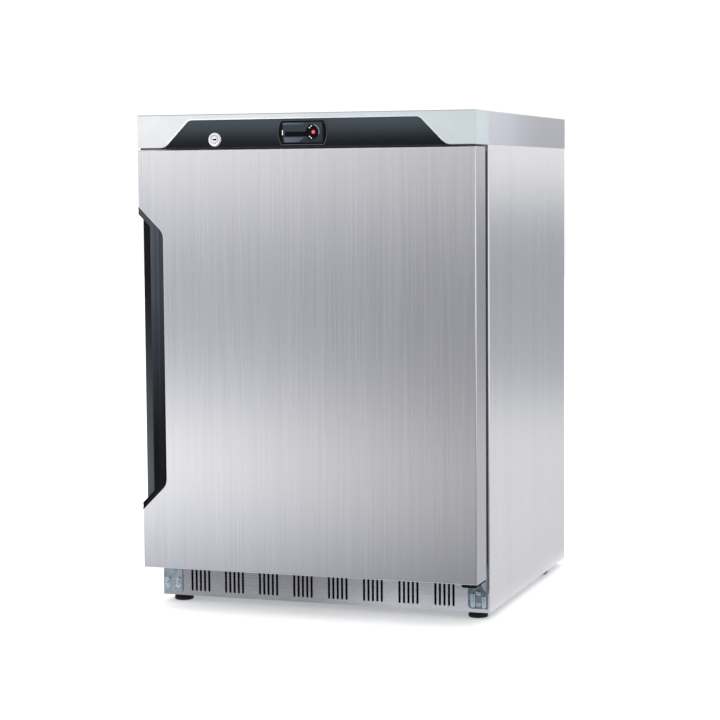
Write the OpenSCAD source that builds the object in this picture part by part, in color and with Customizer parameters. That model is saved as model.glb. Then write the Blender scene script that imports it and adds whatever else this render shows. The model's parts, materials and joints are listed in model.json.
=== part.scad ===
// Undercounter refrigerator with a solid reversible door, a control moulding above the door, a louvred
// kick grille and rear transport rollers. Millimetres, +Z up. The front faces -Y and +X is to the right.
// Origin: on the floor, under the centre of the appliance.

/* [Overall] */
// Overall width
unit_w = 600; // [590:1:620]
// Overall depth, from the door's face to the back
unit_d = 630; // [620:1:650]
// Overall height
unit_h = 855; // [845:1:870]
// Height of the cabinet's lower edge above the floor
skirt_z = 12; // [12:0.5:14]
// Thickness of the outer sheet metal
sheet = 1; // [0.8:0.1:1.2]

/* [Door] */
// Thickness of the door without its gasket
door_t = 58; // [54:1:60]
// Gap between the door's back and the cabinet, filled by the gasket
gasket_gap = 23; // [21:1:24]
// Height of the door's lower edge
door_z0 = 74.5; // [74:0.5:78]
// Gap between the door and the control moulding
door_top_gap = 3.5; // [3:0.5:5]
// Distance of the hinge axis from the door's hinge-side edge
hinge_inset = 24; // [22:1:28]
// Radius of the hinge pins
pin_r = 4; // [3:0.5:5]

/* [Handle recess] */
// Height of the middle of the handle recess
grip_z = 437.5; // [420:0.5:450]
// Half the height of the recess at the door's edge
grip_half = 260.5; // [220:0.5:270]
// Depth of the recess into the door's width
grip_w = 44; // [40:1:50]
// Depth of the recess into the door's thickness
grip_d = 20; // [16:1:24]
// Width of the black lip along the recess's slanted ends
grip_lip = 8; // [4:0.5:9]
// Width of the black lip along the recess's upright side
grip_side_lip = 23; // [10:1:26]

/* [Control moulding] */
// Height of the control moulding and the worktop
top_h = 56; // [54:1:60]
// Distance of the lock from the middle
lock_x = -157; // [-170:1:-120]
// Height of the lock's axis above the moulding's lower edge
lock_up = 13; // [13:0.5:16]
// Width of the electronic controller's frame
ctrl_w = 88; // [80:1:92]
// Height of the electronic controller's frame
ctrl_h = 42; // [38:1:42]

/* [Kick grille] */
// Number of louvre groups
louvre_groups = 8; // [4:1:8]
// Slots in each group
louvre_slots = 5; // [3:1:5]
// Distance between groups
louvre_group_pitch = 64; // [60:1:66]
// Distance between slots
louvre_pitch = 8; // [7:0.5:9]
// Width of a slot
louvre_w = 3.4; // [2.5:0.1:3.8]
// Height of a slot
louvre_h = 41; // [30:1:44]

/* [Inside] */
// Width of the cold compartment
cold_w = 504; // [480:2:510]
// Height of the upper shelf
shelf_high_z = 530; // [470:5:535]
// Height of the lower shelf
shelf_low_z = 322; // [320:1:360]
// Radius of the shelf frame wire
shelf_rod_r = 3; // [2:0.5:4]
// Number of thin wires on each shelf
shelf_wires = 17; // [9:1:21]

/* [Feet and rollers] */
// Radius of a front foot
foot_r = 17; // [14:1:20]
// Radius of a rear roller
roller_r = 24; // [20:1:26]

/* [Hidden] */
$fn = 48;

// outline of the cabinet
half_w = unit_w / 2;
front_y = -unit_d / 2;
back_y = unit_d / 2;
door_back_y = front_y + door_t;
cab_y = door_back_y + gasket_gap;         // front plane of the cabinet
top_z = unit_h - top_h;                   // lower edge of the worktop and of the control moulding
door_z1 = top_z - door_top_gap;
mould_back_y = cab_y - sheet;             // back of the control moulding, front of the worktop
inner_x = half_w - sheet;                 // inner face of a side panel
frame_x = half_w - 21;                    // edge between the front frame and a side panel's return
rear_y = back_y - 3;                      // plane of the back panel and of the rear grille
panel_t = 1;

// cold compartment and machine compartment
cold_x = cold_w / 2;
cold_z0 = 118;
cold_z1 = top_z - 47;
cold_back_y = back_y - 55;
cold_r = 18;
liner_t = 2;
step_y = 45;                              // front of the step inside
step_z = 300;                             // top of the step inside
deck_z = 85;                              // underside of the insulation in front
deck_y = 76;                              // front of the machine compartment
deck_top_z = 265;                         // roof of the machine compartment
pan_z = 14;
pan_t = 1.5;

// hinge axis
hinge_x = half_w - hinge_inset;
hinge_y = front_y + 30;
bush_r = 8;
bush_len = 16;
fit = 0.05;                               // radial clearance of a running fit
lip_t = 4;                                // thickness of the handle's lip
arm_t = 3;
low_arm_z = 66;
high_arm_z = top_z + 3;

// control moulding
mould_t = 2.5;
fascia_y = front_y + 1.6;                 // front of the black fascia, set back from the moulding
fascia_t = 2.4;
fascia_top_z = unit_h - 11;
fascia_top_x = 204;
fascia_slope = 46;
fascia_r = 13;
lock_z = top_z + lock_up;
lock_ring_r = 11.5;
lock_body_r = 8;
lock_core_r = 6;
cam_y = front_y + 23;
cam_t = 3;
cam_len = 27;
cam_w = 10;
keeper_x0 = lock_x - cam_w / 2 - 1.5;
keeper_x1 = lock_x + 24;
ctrl_x = 1;
ctrl_z = top_z + 23;
ctrl_bulge = 6;
window_w = 80;
window_h = 34;
case_w = 71;
case_h = 29;
key_travel = 0.6;
key_fit = 0.08;
// x and z from the controller's middle, then radius
key_select_at = [18, 0.5, 3.6];
key_up_at = [14, 9, 2.6];
key_down_at = [14, -8.5, 2.6];

// gasket
gasket_x = frame_x - 4;
gasket_z0 = door_z0 + 18;
gasket_z1 = door_z1 - 18;
gasket_w = 20;
soft_gap = 0.3;

// feet, rollers and screws
foot_x = 272;
foot_y = front_y + 108;
foot_h = 10;
stud_r = 5;
roller_y = 200;
roller_x0 = 272;
roller_x1 = 293;
axle_r = 4;
screw_r = 2.5;
screw_head_r = 4.5;
screw_head_h = 1.8;
emboss_h = 1.8;
arm_x0 = 262;                               // left side of both hinge arms

// refrigeration
comp_at = [-160, 195];
comp_r = 68;
mount_dx = 72;
mount_dy = 52;
fan_at = [140, 120];                      // x and z of the condenser fan's axis
cold_fan_z = 650;
drain_at = [-150, 285];
suction_points = [[120, 255, 600], [120, 285, 600], [120, 285, 235], [-60, 285, 235],
    [-60, 285, 150], [-60, 225, 150], [-97, 225, 150]];
capillary_points = [[-10, 140, 170], [-10, 140, 230], [40, 140, 230], [40, 140, 282],
    [40, 285, 282], [40, 285, 590], [40, 240, 590], [62, 240, 590]];
cover_y = cold_back_y - 70;
cover_x = 190;
cover_z0 = 560;
cover_z1 = 740;

// screws: x and z on the lower hinge plates and on the rear grille
plate_front_y = cab_y - arm_t;
hinge_screws = [[280.4, 46], [280.4, 27]];
spare_screws = [[-290, 34], [-270, 34], [-290, 64], [-270, 64]];
rear_screws = [[-262, 34], [262, 34], [-262, 246], [262, 246]];

// outline helpers
function arc(c, r, a0, a1, n) = [for (i = [0:n]) let (a = a0 + (a1 - a0) * i / n) c + r * [cos(a), sin(a)]];
function flip_x(pts) = [for (i = [len(pts) - 1:-1:0]) [-pts[i].x, pts[i].y]];
function flip_z(pts, z) = [for (i = [len(pts) - 1:-1:0]) [pts[i].x, 2 * z - pts[i].y]];

// Upper half of the handle recess: 45 degree end, rounded with radius r into the upright side.
// d moves the slanted end inwards and s moves the upright side inwards.
function grip_upper(d, s, r) = let (
    x1 = -half_w + grip_w - s,
    end_z = grip_z + grip_half - sqrt(2) * d,
    c = [x1 - r, end_z - (grip_w - s) - r * tan(22.5)]
) concat(arc(c, r, 0, 45, 8), [[-half_w - 2, end_z + 2]]);
function grip_outline(d, s, r) = concat(flip_z(grip_upper(d, s, r), grip_z), grip_upper(d, s, r));

// Right half of the fascia outline: flared foot, slope, rounded upper corner. d shrinks the outline.
function fascia_right(d) = let (
    a = atan2(fascia_slope, fascia_top_z - top_z),
    t = fascia_r * tan((90 - a) / 2),
    c = [fascia_top_x - d - t, fascia_top_z - d - fascia_r]
) concat([[fascia_top_x + fascia_slope + 6 - d, top_z],
    [fascia_top_x + fascia_slope - 3 - d, top_z + 2.2 - d / 2],
    [fascia_top_x + fascia_slope - 7 - d, top_z + 5 - d / 2]], arc(c, fascia_r, 90 - (90 - a), 90, 8));
function fascia_outline(d) = concat(fascia_right(d), flip_x(fascia_right(d)));

// Controller frame: barrel shape with bulging ends
function barrel(w, h, bulge) = let (
    r = (h * h / 4 + bulge * bulge) / (2 * bulge),
    a = asin(h / 2 / r)
) concat(arc([w / 2 - r, 0], r, -a, a, 10), arc([r - w / 2, 0], r, 180 - a, 180 + a, 10));

module box(x0, x1, y0, y1, z0, z1) {
    translate([x0, y0, z0]) cube([x1 - x0, y1 - y0, z1 - z0]);
}
module rod_x(x0, x1, y, z, r) {
    translate([x0, y, z]) rotate([0, 90, 0]) cylinder(h = x1 - x0, r = r);
}
module rod_y(x, y0, y1, z, r) {
    translate([x, y1, z]) rotate([90, 0, 0]) cylinder(h = y1 - y0, r = r);
}
module rod_z(x, y, z0, z1, r) {
    translate([x, y, z0]) cylinder(h = z1 - z0, r = r);
}
// Extrudes a drawing in x and z from y0 to y1
module in_xz(y0, y1) {
    translate([0, y1, 0]) rotate([90, 0, 0]) linear_extrude(y1 - y0) children();
}
// Extrudes a drawing in y and z from x0 to x1
module in_yz(x0, x1) {
    translate([x0, 0, 0]) rotate([90, 0, 90]) linear_extrude(x1 - x0) children();
}
module round_rect(x0, x1, y0, y1, r) {
    translate([x0 + r, y0]) square([x1 - x0 - 2 * r, y1 - y0]);
    translate([x0, y0 + r]) square([x1 - x0, y1 - y0 - 2 * r]);
    for (x = [x0 + r, x1 - r], y = [y0 + r, y1 - r]) translate([x, y]) circle(r);
}
// Upright slot with round ends
module slot2d(w, h) {
    translate([-w / 2, w / 2 - h / 2]) square([w, h - w]);
    for (s = [-1, 1]) translate([0, s * (h - w) / 2]) circle(w / 2, $fn = 24);
}
// Pipe of radius r along points joined by straight runs parallel to the axes
module pipe(pts, r) {
    for (i = [0:len(pts) - 2]) {
        a = pts[i];
        b = pts[i + 1];
        lo = [min(a.x, b.x), min(a.y, b.y), min(a.z, b.z)];
        hi = [max(a.x, b.x), max(a.y, b.y), max(a.z, b.z)];
        if (hi.x > lo.x) rod_x(lo.x, hi.x, a.y, a.z, r);
        else if (hi.y > lo.y) rod_y(a.x, lo.y, hi.y, a.z, r);
        else rod_z(a.x, a.y, lo.z, hi.z, r);
        if (i > 0) translate(a) sphere(r);
    }
}
// Square channel of half-width r along the same kind of points
module channel(pts, r) {
    for (i = [0:len(pts) - 2]) {
        a = pts[i];
        b = pts[i + 1];
        box(min(a.x, b.x) - r, max(a.x, b.x) + r, min(a.y, b.y) - r, max(a.y, b.y) + r,
            min(a.z, b.z) - r, max(a.z, b.z) + r);
    }
}

// Shapes shared by neighbouring pieces
module grip_block(y0, y1, d = 0, s = 0, r = 22) {
    in_xz(y0, y1) polygon(grip_outline(d, s, r));
}
module cold_section(d) {
    round_rect(-cold_x - d, cold_x + d, cold_z0 - d, cold_z1 + d, cold_r + d);
}
module liner_outside() {
    difference() {
        in_xz(cab_y + sheet, cold_back_y + liner_t) cold_section(liner_t);
        box(-cold_x - 9, cold_x + 9, step_y, cold_back_y + 9,
            cold_z0 - 9, step_z - liner_t);
    }
}
module drain_outside(d) {
    rod_z(drain_at.x, drain_at.y, 224, 578, 8 + d);
    rod_y(drain_at.x, cold_back_y - 2, drain_at.y, 570, 7 + d);
}
module service_routes() {
    channel(suction_points, 4.3);
    channel(capillary_points, 2.3);
    drain_outside(0.1);
}
module keeper_slot(z0, z1) {
    box(keeper_x0, keeper_x1, cam_y - 2, cam_y + cam_t + 2, z0, z1);
}
module panel_screw(x, z, y, depth) {
    rod_y(x, y - screw_head_h, y, z, screw_head_r);
    rod_y(x, y - 0.01, y + depth, z, screw_r);
}

// Cabinet shell
module side_panel() {
    box(inner_x, half_w, cab_y, back_y, skirt_z, top_z);
    box(frame_x, half_w, cab_y, cab_y + sheet, door_z0 + 0.5, top_z);
    box(half_w - 15, half_w, back_y - sheet, back_y, skirt_z, top_z);
}
module side_panel_left() {
    color([0.78, 0.78, 0.80]) mirror([1, 0, 0]) side_panel();
}
module side_panel_right() {
    color([0.78, 0.78, 0.80]) side_panel();
}
module back_panel() {
    color([0.66, 0.69, 0.72]) box(-inner_x, inner_x, rear_y, rear_y + panel_t, deck_top_z + 1, top_z);
}
module base_deck() {
    color([0.66, 0.69, 0.72]) difference() {
        in_yz(-inner_x, inner_x) polygon([[cab_y + sheet, deck_z], [deck_y + panel_t, deck_z],
            [deck_y + panel_t, deck_top_z], [rear_y, deck_top_z], [rear_y, deck_top_z + panel_t],
            [deck_y, deck_top_z + panel_t], [deck_y, deck_z + panel_t], [cab_y + sheet, deck_z + panel_t]]);
        service_routes();
    }
}
module front_frame() {
    color([0.90, 0.91, 0.92]) in_xz(cab_y, cab_y + sheet) difference() {
        translate([-frame_x, door_z0 + 0.5]) square([2 * frame_x, top_z - door_z0 - 0.5]);
        cold_section(0);
    }
}
module inner_liner() {
    color([0.93, 0.94, 0.95]) difference() {
        liner_outside();
        difference() {
            in_xz(cab_y, cold_back_y) cold_section(0);
            box(-cold_x - 9, cold_x + 9, step_y - liner_t, cold_back_y + 9, cold_z0 - 9, step_z);
        }
        service_routes();
    }
}
module cabinet_foam() {
    color([0.93, 0.88, 0.70]) difference() {
        in_yz(-inner_x, inner_x) polygon([[cab_y + sheet, deck_z + panel_t], [deck_y, deck_z + panel_t],
            [deck_y, deck_top_z + panel_t], [rear_y, deck_top_z + panel_t], [rear_y, top_z],
            [cab_y + sheet, top_z]]);
        liner_outside();
        service_routes();
    }
}
module base_pan() {
    color([0.62, 0.66, 0.70]) difference() {
        union() {
            box(-inner_x, inner_x, cab_y + 3, rear_y - 1, pan_z, pan_z + pan_t);
            for (s = [-1, 1]) {
                box(s * (inner_x - 0.75) - 0.75, s * (inner_x - 0.75) + 0.75, cab_y + 14, rear_y - 1,
                    pan_z, 60);
                rod_z(s * foot_x, foot_y, pan_z, pan_z + 18, 9);
            }
        }
        for (s = [-1, 1]) {
            rod_z(s * foot_x, foot_y, pan_z - 1, pan_z + 19, stud_r + fit);
            box(s * 282 - 15, s * 282 + 15, roller_y - 30, roller_y + 30, pan_z - 1, pan_z + pan_t + 1);
        }
    }
}
module worktop() {
    color([0.76, 0.76, 0.78]) difference() {
        box(-half_w, half_w, mould_back_y, back_y, top_z, unit_h);
        box(-inner_x, inner_x, cab_y, back_y - sheet, top_z - 1, unit_h - sheet);
        for (x = [262, 286]) rod_y(x, mould_back_y - 1, cab_y + 1, top_z + 26, screw_r + 0.1);
    }
}
module worktop_core() {
    color([0.80, 0.70, 0.55]) difference() {
        box(-inner_x, inner_x, cab_y, back_y - sheet, top_z, unit_h - sheet);
        for (x = [262, 286]) rod_y(x, cab_y - 1, cab_y + 20, top_z + 26, screw_r + 0.1);
    }
}

// Control moulding and what it carries
module control_moulding() {
    color([0.90, 0.93, 0.96]) difference() {
        translate([0, 0, top_z]) linear_extrude(top_h) difference() {
            union() {
                round_rect(-half_w, half_w, front_y, mould_back_y, 5);
                translate([-half_w, mould_back_y - 10]) square([unit_w, 10]);
            }
        }
        box(-half_w + mould_t, half_w - mould_t, front_y + mould_t + 1.5, mould_back_y + 1,
            top_z + mould_t, unit_h - mould_t);
        in_xz(front_y - 1, front_y + mould_t + 2) polygon(fascia_outline(0));
        box(keeper_x0 - 2, keeper_x1 + 4, cam_y - 2, cam_y + cam_t + 2, top_z - 1, top_z + mould_t + 1);
        rod_z(hinge_x, hinge_y, top_z - 1, top_z + mould_t + 1, 7);
    }
}
module control_fascia() {
    color([0.12, 0.13, 0.15]) difference() {
        in_xz(fascia_y, fascia_y + fascia_t) polygon(fascia_outline(0.3));
        rod_y(lock_x, fascia_y - 1, fascia_y + 5, lock_z, lock_body_r);
        translate([ctrl_x, 0, ctrl_z]) box(-case_w / 2, case_w / 2, fascia_y - 1, fascia_y + 5,
            -case_h / 2, case_h / 2);
    }
}
module at_ctrl() {
    translate([ctrl_x, 0, ctrl_z]) children();
}
module key_hole(k, y0, y1) {
    rod_y(k.x, y0, y1, k.y, k.z + key_fit);
}
module controller_case() {
    color([0.10, 0.10, 0.11]) at_ctrl() difference() {
        box(-case_w / 2, case_w / 2, fascia_y, fascia_y + 56, -case_h / 2, case_h / 2);
        for (k = [key_select_at, key_up_at, key_down_at]) key_hole(k, fascia_y - 1, fascia_y + 4);
    }
}
module controller_frame() {
    color([0.22, 0.20, 0.20]) at_ctrl() in_xz(front_y + 0.2, fascia_y) difference() {
        polygon(barrel(ctrl_w, ctrl_h, ctrl_bulge));
        polygon(barrel(window_w, window_h, ctrl_bulge - 1));
    }
}
module controller_lens() {
    color([0.05, 0.06, 0.09]) at_ctrl() difference() {
        in_xz(front_y + 0.5, fascia_y) polygon(barrel(window_w, window_h, ctrl_bulge - 1));
        for (k = [key_select_at, key_up_at, key_down_at]) key_hole(k, front_y - 1, fascia_y + 1);
    }
}
module control_key(k) {
    at_ctrl() rod_y(k.x, front_y + 0.1, fascia_y + 4 - key_travel - 0.3, k.y, k.z);
}
module key_select() {
    color([0.20, 0.05, 0.05]) control_key(key_select_at);
}
module key_up() {
    color([0.80, 0.80, 0.82]) control_key(key_up_at);
}
module key_down() {
    color([0.80, 0.80, 0.82]) control_key(key_down_at);
}
module control_board() {
    color([0.10, 0.35, 0.18]) {
        box(70, 180, -305, -250, top_z + 8, top_z + 9.6);
        for (x = [82, 106, 130]) box(x, x + 16, -296, -276, top_z + 9.6, top_z + 25);
        box(152, 174, -300, -270, top_z + 9.6, top_z + 30);
    }
}
module lock_housing() {
    color([0.88, 0.89, 0.90]) difference() {
        union() {
            rod_y(lock_x, front_y, fascia_y, lock_z, lock_ring_r);
            rod_y(lock_x, fascia_y, cam_y, lock_z, lock_body_r);
        }
        rod_y(lock_x, front_y - 1, cam_y + 1, lock_z, lock_core_r + fit);
    }
}
module lock_cylinder() {
    color([0.80, 0.81, 0.83]) difference() {
        rod_y(lock_x, front_y + 0.4, cam_y, lock_z, lock_core_r);
        box(lock_x - 0.9, lock_x + 0.9, front_y - 1, front_y + 7, lock_z - 2.6, lock_z + 2.6);
    }
}
module lock_cam() {
    color([0.70, 0.72, 0.75]) {
        rod_y(lock_x, cam_y, cam_y + cam_t, lock_z, lock_core_r);
        box(lock_x, lock_x + cam_len, cam_y, cam_y + cam_t, lock_z - cam_w / 2, lock_z + cam_w / 2);
    }
}

// Hinges
module hinge_arm(z) {
    difference() {
        translate([0, 0, z]) linear_extrude(arm_t) {
            translate([arm_x0, hinge_y]) square([294 - arm_x0, plate_front_y - hinge_y + arm_t]);
            translate([arm_x0 + 12, hinge_y - 12]) square([282 - arm_x0 - 12, 12]);
            for (x = [arm_x0 + 12, 282]) translate([x, hinge_y]) circle(12);
        }
        rod_z(hinge_x, hinge_y, z - 1, z + arm_t + 1, pin_r);
    }
}
module upper_hinge_bracket() {
    color([0.60, 0.66, 0.70]) difference() {
        union() {
            intersection() {
                hinge_arm(high_arm_z);
                box(240, 300, front_y, mould_back_y, high_arm_z - 1, high_arm_z + 9);
            }
            box(250, 294, mould_back_y - arm_t, mould_back_y, high_arm_z, top_z + 40);
        }
        for (x = [262, 286]) rod_y(x, mould_back_y - 9, mould_back_y + 1, top_z + 26, screw_r + 0.1);
    }
}
module emboss(x, y, z, w, h) {
    in_xz(y - emboss_h, y + 0.5) translate([x, z]) slot2d(w, h);
}
module lower_hinge_bracket() {
    color([0.60, 0.66, 0.70]) difference() {
        union() {
            in_xz(plate_front_y, cab_y) {
                translate([262, 26]) square([34, low_arm_z + arm_t - 26]);
                translate([269, 19]) square([27, 8]);
                translate([269, 26]) circle(7);
                translate([286, 60]) square([10, 36]);
            }
            intersection() {
                hinge_arm(low_arm_z);
                box(240, 300, front_y, plate_front_y + 1, low_arm_z - 1, low_arm_z + 9);
            }
            in_yz(293, 296) polygon([[plate_front_y + 1, 44], [hinge_y + 12, low_arm_z],
                [plate_front_y - 10, low_arm_z + arm_t], [plate_front_y - 9, 84], [plate_front_y + 1, 96]]);
            emboss(270.6, plate_front_y, 33.5, 9, 26);
            emboss(290, plate_front_y, 31, 8, 22);
            emboss(290, plate_front_y, 60, 8, 17);
        }
        for (s = hinge_screws) rod_y(s.x, cab_y - 9, cab_y + 1, s.y, screw_r + 0.1);
    }
}
module hinge_pins() {
    color([0.75, 0.77, 0.80]) {
        rod_z(hinge_x, hinge_y, low_arm_z, door_z0 + bush_len - 2, pin_r);
        rod_z(hinge_x, hinge_y, low_arm_z + arm_t, door_z0 - soft_gap, 7);
        rod_z(hinge_x, hinge_y, door_z1 - bush_len + 2, high_arm_z + arm_t, pin_r);
    }
}
module spare_hinge_plate() {
    color([0.60, 0.66, 0.70]) difference() {
        union() {
            in_xz(cab_y - 2, cab_y) round_rect(-298, -262, 18, 72.5, 3);
            for (x = [-290, -270]) emboss(x, cab_y - 2, 34, 11, 21);
        }
        for (s = spare_screws) rod_y(s.x, cab_y - 9, cab_y + 1, s.y, screw_r + 0.1);
    }
}
module case_screws() {
    color([0.80, 0.82, 0.85]) {
        for (s = hinge_screws) panel_screw(s.x, s.y, plate_front_y, 14);
        for (s = spare_screws) panel_screw(s.x, s.y, cab_y - 2 - (s.y < 50 ? emboss_h : 0), 14);
        for (x = [262, 286]) panel_screw(x, top_z + 26, mould_back_y - arm_t, 16);
        for (s = rear_screws) mirror([0, 1, 0]) panel_screw(s.x, s.y, -rear_y - 1.2, 10);
    }
}

// Kick grille
module kick_grille() {
    z0 = skirt_z + 0.2;
    z1 = door_z0 + 0.2;
    color([0.77, 0.77, 0.79]) difference() {
        union() {
            box(-inner_x, inner_x, cab_y, cab_y + 1.2, z0, z1);
            box(-inner_x, inner_x, cab_y, cab_y + 2.8, z0, z0 + 1);
            box(-inner_x, inner_x, cab_y, cab_y + 11, z1 - 1, z1);
        }
        in_xz(cab_y - 1, cab_y + 2) for (g = [0:louvre_groups - 1], i = [0:louvre_slots - 1])
            translate([(g - (louvre_groups - 1) / 2) * louvre_group_pitch - 4
                + (i - (louvre_slots - 1) / 2) * louvre_pitch, 41.5]) slot2d(louvre_w, louvre_h);
        for (s = concat(hinge_screws, spare_screws)) rod_y(s.x, cab_y - 1, cab_y + 2, s.y, screw_r + 0.1);
    }
}

// Feet and rollers
module front_foot() {
    rod_z(foot_x, foot_y, 0, 3, foot_r - 1);
    translate([foot_x, foot_y, 3]) cylinder(h = foot_h - 3, r1 = foot_r, r2 = foot_r - 3);
    rod_z(foot_x, foot_y, foot_h - 1, foot_h + 34, stud_r);
}
module front_foot_left() {
    color([0.06, 0.06, 0.06]) mirror([1, 0, 0]) front_foot();
}
module front_foot_right() {
    color([0.06, 0.06, 0.06]) front_foot();
}
module roller_bracket() {
    difference() {
        for (x = [roller_x0 - 3, roller_x1 + 1]) in_yz(x, x + 2) polygon([[roller_y - 40, pan_z + pan_t],
            [roller_y - 28, pan_z + pan_t], [roller_y - 9, roller_r - 9], [roller_y + 9, roller_r - 9],
            [roller_y + 28, pan_z + pan_t], [roller_y + 40, pan_z + pan_t], [roller_y + 28, 58],
            [roller_y - 28, 58]]);
        box(roller_x0 - 9, roller_x1 + 9, roller_y - 60, roller_y + 60, 0, pan_z - 5);
    }
    box(roller_x0 - 3, roller_x1 + 3, roller_y - 28, roller_y + 28, 56, 58);
    rod_x(roller_x0 - 3, roller_x1 + 3, roller_y, roller_r, axle_r);
}
module roller_brackets() {
    color([0.55, 0.62, 0.70]) for (s = [0, 1]) mirror([s, 0, 0]) roller_bracket();
}
module rear_roller() {
    difference() {
        union() {
            rod_x(roller_x0, roller_x1, roller_y, roller_r, roller_r - 2);
            rod_x(roller_x0 + 2, roller_x1 - 2, roller_y, roller_r, roller_r);
        }
        rod_x(roller_x0 - 1, roller_x1 + 1, roller_y, roller_r, axle_r + fit);
    }
}
module rear_roller_left() {
    color([0.16, 0.18, 0.24]) mirror([1, 0, 0]) rear_roller();
}
module rear_roller_right() {
    color([0.16, 0.18, 0.24]) rear_roller();
}

// Refrigeration machine
module mount_places() {
    for (dx = [-mount_dx, mount_dx], dy = [-mount_dy, mount_dy])
        translate([comp_at.x + dx, comp_at.y + dy, 0]) children();
}
module compressor() {
    color([0.08, 0.08, 0.09]) {
        translate([comp_at.x, comp_at.y, 34]) {
            cylinder(h = 16, r1 = comp_r - 18, r2 = comp_r);
            translate([0, 0, 16]) cylinder(h = 96, r = comp_r);
            translate([0, 0, 112]) cylinder(h = 14, r1 = comp_r, r2 = comp_r - 12);
            translate([0, 0, 126]) cylinder(h = 10, r1 = comp_r - 12, r2 = comp_r - 34);
        }
        box(comp_at.x - 104, comp_at.x - comp_r + 6, 165, 225, 66, 122);
        difference() {
            box(comp_at.x - 88, comp_at.x + 88, comp_at.y - 66, comp_at.y + 66, 31, 34);
            mount_places() rod_z(0, 0, 30, 35, 8);
        }
    }
}
module compressor_mounts() {
    color([0.05, 0.05, 0.05]) mount_places() {
        rod_z(0, 0, pan_z + pan_t, 31, 12);
        rod_z(0, 0, 31, 34, 8);
        rod_z(0, 0, 34, 38, 12);
    }
}
module condenser() {
    color([0.30, 0.31, 0.33]) {
        for (x = [30, 252]) box(x, x + 2, 84, 124, 28, 212);
        for (x = [42:10:242]) box(x, x + 1, 86, 122, 30, 210);
        for (y = [95, 113], z = [45:30:195]) rod_x(31, 253, y, z, 4);
    }
}
module fan_blades(n, hub_r, tip_r, chord, pitch) {
    for (i = [0:n - 1]) rotate([0, i * 360 / n, 0]) translate([(hub_r + tip_r) / 2 - 1, 0, 0])
        rotate([pitch, 0, 0]) cube([tip_r - hub_r + 2, 1.6, chord], center = true);
}
module condenser_fan() {
    color([0.75, 0.76, 0.78]) translate([fan_at.x, 168, fan_at.y]) {
        rod_y(0, -10, 12, 0, 20);
        rod_y(0, 12, 38, 0, 3);
        fan_blades(5, 19, 82, 42, 28);
    }
}
module condenser_fan_motor() {
    color([0.20, 0.21, 0.23]) difference() {
        union() {
            rod_y(fan_at.x, 184, 236, fan_at.y, 32);
            box(fan_at.x - 30, fan_at.x + 30, 206, 214, pan_z + pan_t, fan_at.y - 20);
            box(fan_at.x - 40, fan_at.x + 40, 196, 224, pan_z + pan_t, pan_z + pan_t + 2);
        }
        rod_y(fan_at.x, 183, 208, fan_at.y, 3 + fit);
    }
}
module filter_drier() {
    color([0.72, 0.45, 0.28]) {
        rod_z(-10, 140, 66, 164, 10);
        translate([-10, 140, 60]) cylinder(h = 6, r1 = 4, r2 = 10);
        translate([-10, 140, 164]) cylinder(h = 6, r1 = 10, r2 = 3);
    }
}
module refrigerant_pipes() {
    color([0.72, 0.45, 0.28]) {
        pipe([[-92, 195, 100], [-40, 195, 100], [-40, 104, 100], [30, 104, 100]], 4);
        pipe([[30, 104, 60], [8, 104, 60], [8, 104, 48], [-10, 104, 48], [-10, 140, 48], [-10, 140, 60]], 4);
        pipe(suction_points, 4);
        pipe(capillary_points, 2);
    }
}
module evaporator() {
    color([0.80, 0.82, 0.84]) {
        for (x = [62, 182]) box(x, x + 2, 205, 255, 572, 728);
        for (x = [70:8:174]) box(x, x + 0.8, 207, 253, 574, 726);
        for (y = [218, 242], z = [606:24:716]) rod_x(63, 183, y, z, 4);
        rod_x(63, 183, 230, 590, 4);
    }
}
module evaporator_cover() {
    color([0.95, 0.96, 0.97]) difference() {
        box(-cover_x, cover_x, cover_y, cold_back_y, cover_z0, cover_z1);
        box(-cover_x + 2, cover_x - 2, cover_y + 2, cold_back_y + 1, cover_z0 + 2, cover_z1 - 2);
        difference() {
            rod_y(0, cover_y - 1, cover_y + 3, cold_fan_z, 48);
            for (r = [14, 26, 38]) difference() {
                rod_y(0, cover_y - 2, cover_y + 4, cold_fan_z, r + 1);
                rod_y(0, cover_y - 3, cover_y + 5, cold_fan_z, r - 1);
            }
            box(-49, 49, cover_y, cover_y + 2, cold_fan_z - 1, cold_fan_z + 1);
            box(-1, 1, cover_y, cover_y + 2, cold_fan_z - 49, cold_fan_z + 49);
            rod_y(0, cover_y, cover_y + 2, cold_fan_z, 9);
        }
        for (s = [-1, 1], i = [0:9]) translate([s * 125, 0, 590 + i * 13])
            box(-45, 45, cover_y - 1, cover_y + 3, -2, 2);
    }
}
module evaporator_fan() {
    color([0.20, 0.21, 0.23]) translate([0, 212, cold_fan_z]) {
        rod_y(0, -8, 8, 0, 13);
        rod_y(0, 8, 30, 0, 2);
        fan_blades(5, 12, 43, 24, 26);
    }
}
module evaporator_fan_motor() {
    color([0.12, 0.12, 0.13]) difference() {
        union() {
            rod_y(0, 228, 250, cold_fan_z, 24);
            box(-40, 40, 250, cold_back_y, cold_fan_z - 14, cold_fan_z + 14);
        }
        rod_y(0, 227, 243, cold_fan_z, 2 + fit);
    }
}
module drain_tube() {
    color([0.85, 0.86, 0.88]) difference() {
        drain_outside(0);
        rod_z(drain_at.x, drain_at.y, 223, 574, 6);
        rod_y(drain_at.x, cold_back_y - 3, drain_at.y, 570, 4.5);
    }
}
module evaporation_pan() {
    color([0.15, 0.15, 0.16]) difference() {
        box(comp_at.x - 78, comp_at.x + 78, 128, 304, 171, 212);
        box(comp_at.x - 76, comp_at.x + 76, 130, 302, 173, 213);
    }
}
module temperature_probe() {
    color([0.75, 0.75, 0.77]) {
        rod_z(cold_x - 5, 225, 596, 640, 3);
        box(cold_x - 10, cold_x, 219, 231, 612, 620);
    }
}

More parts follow.
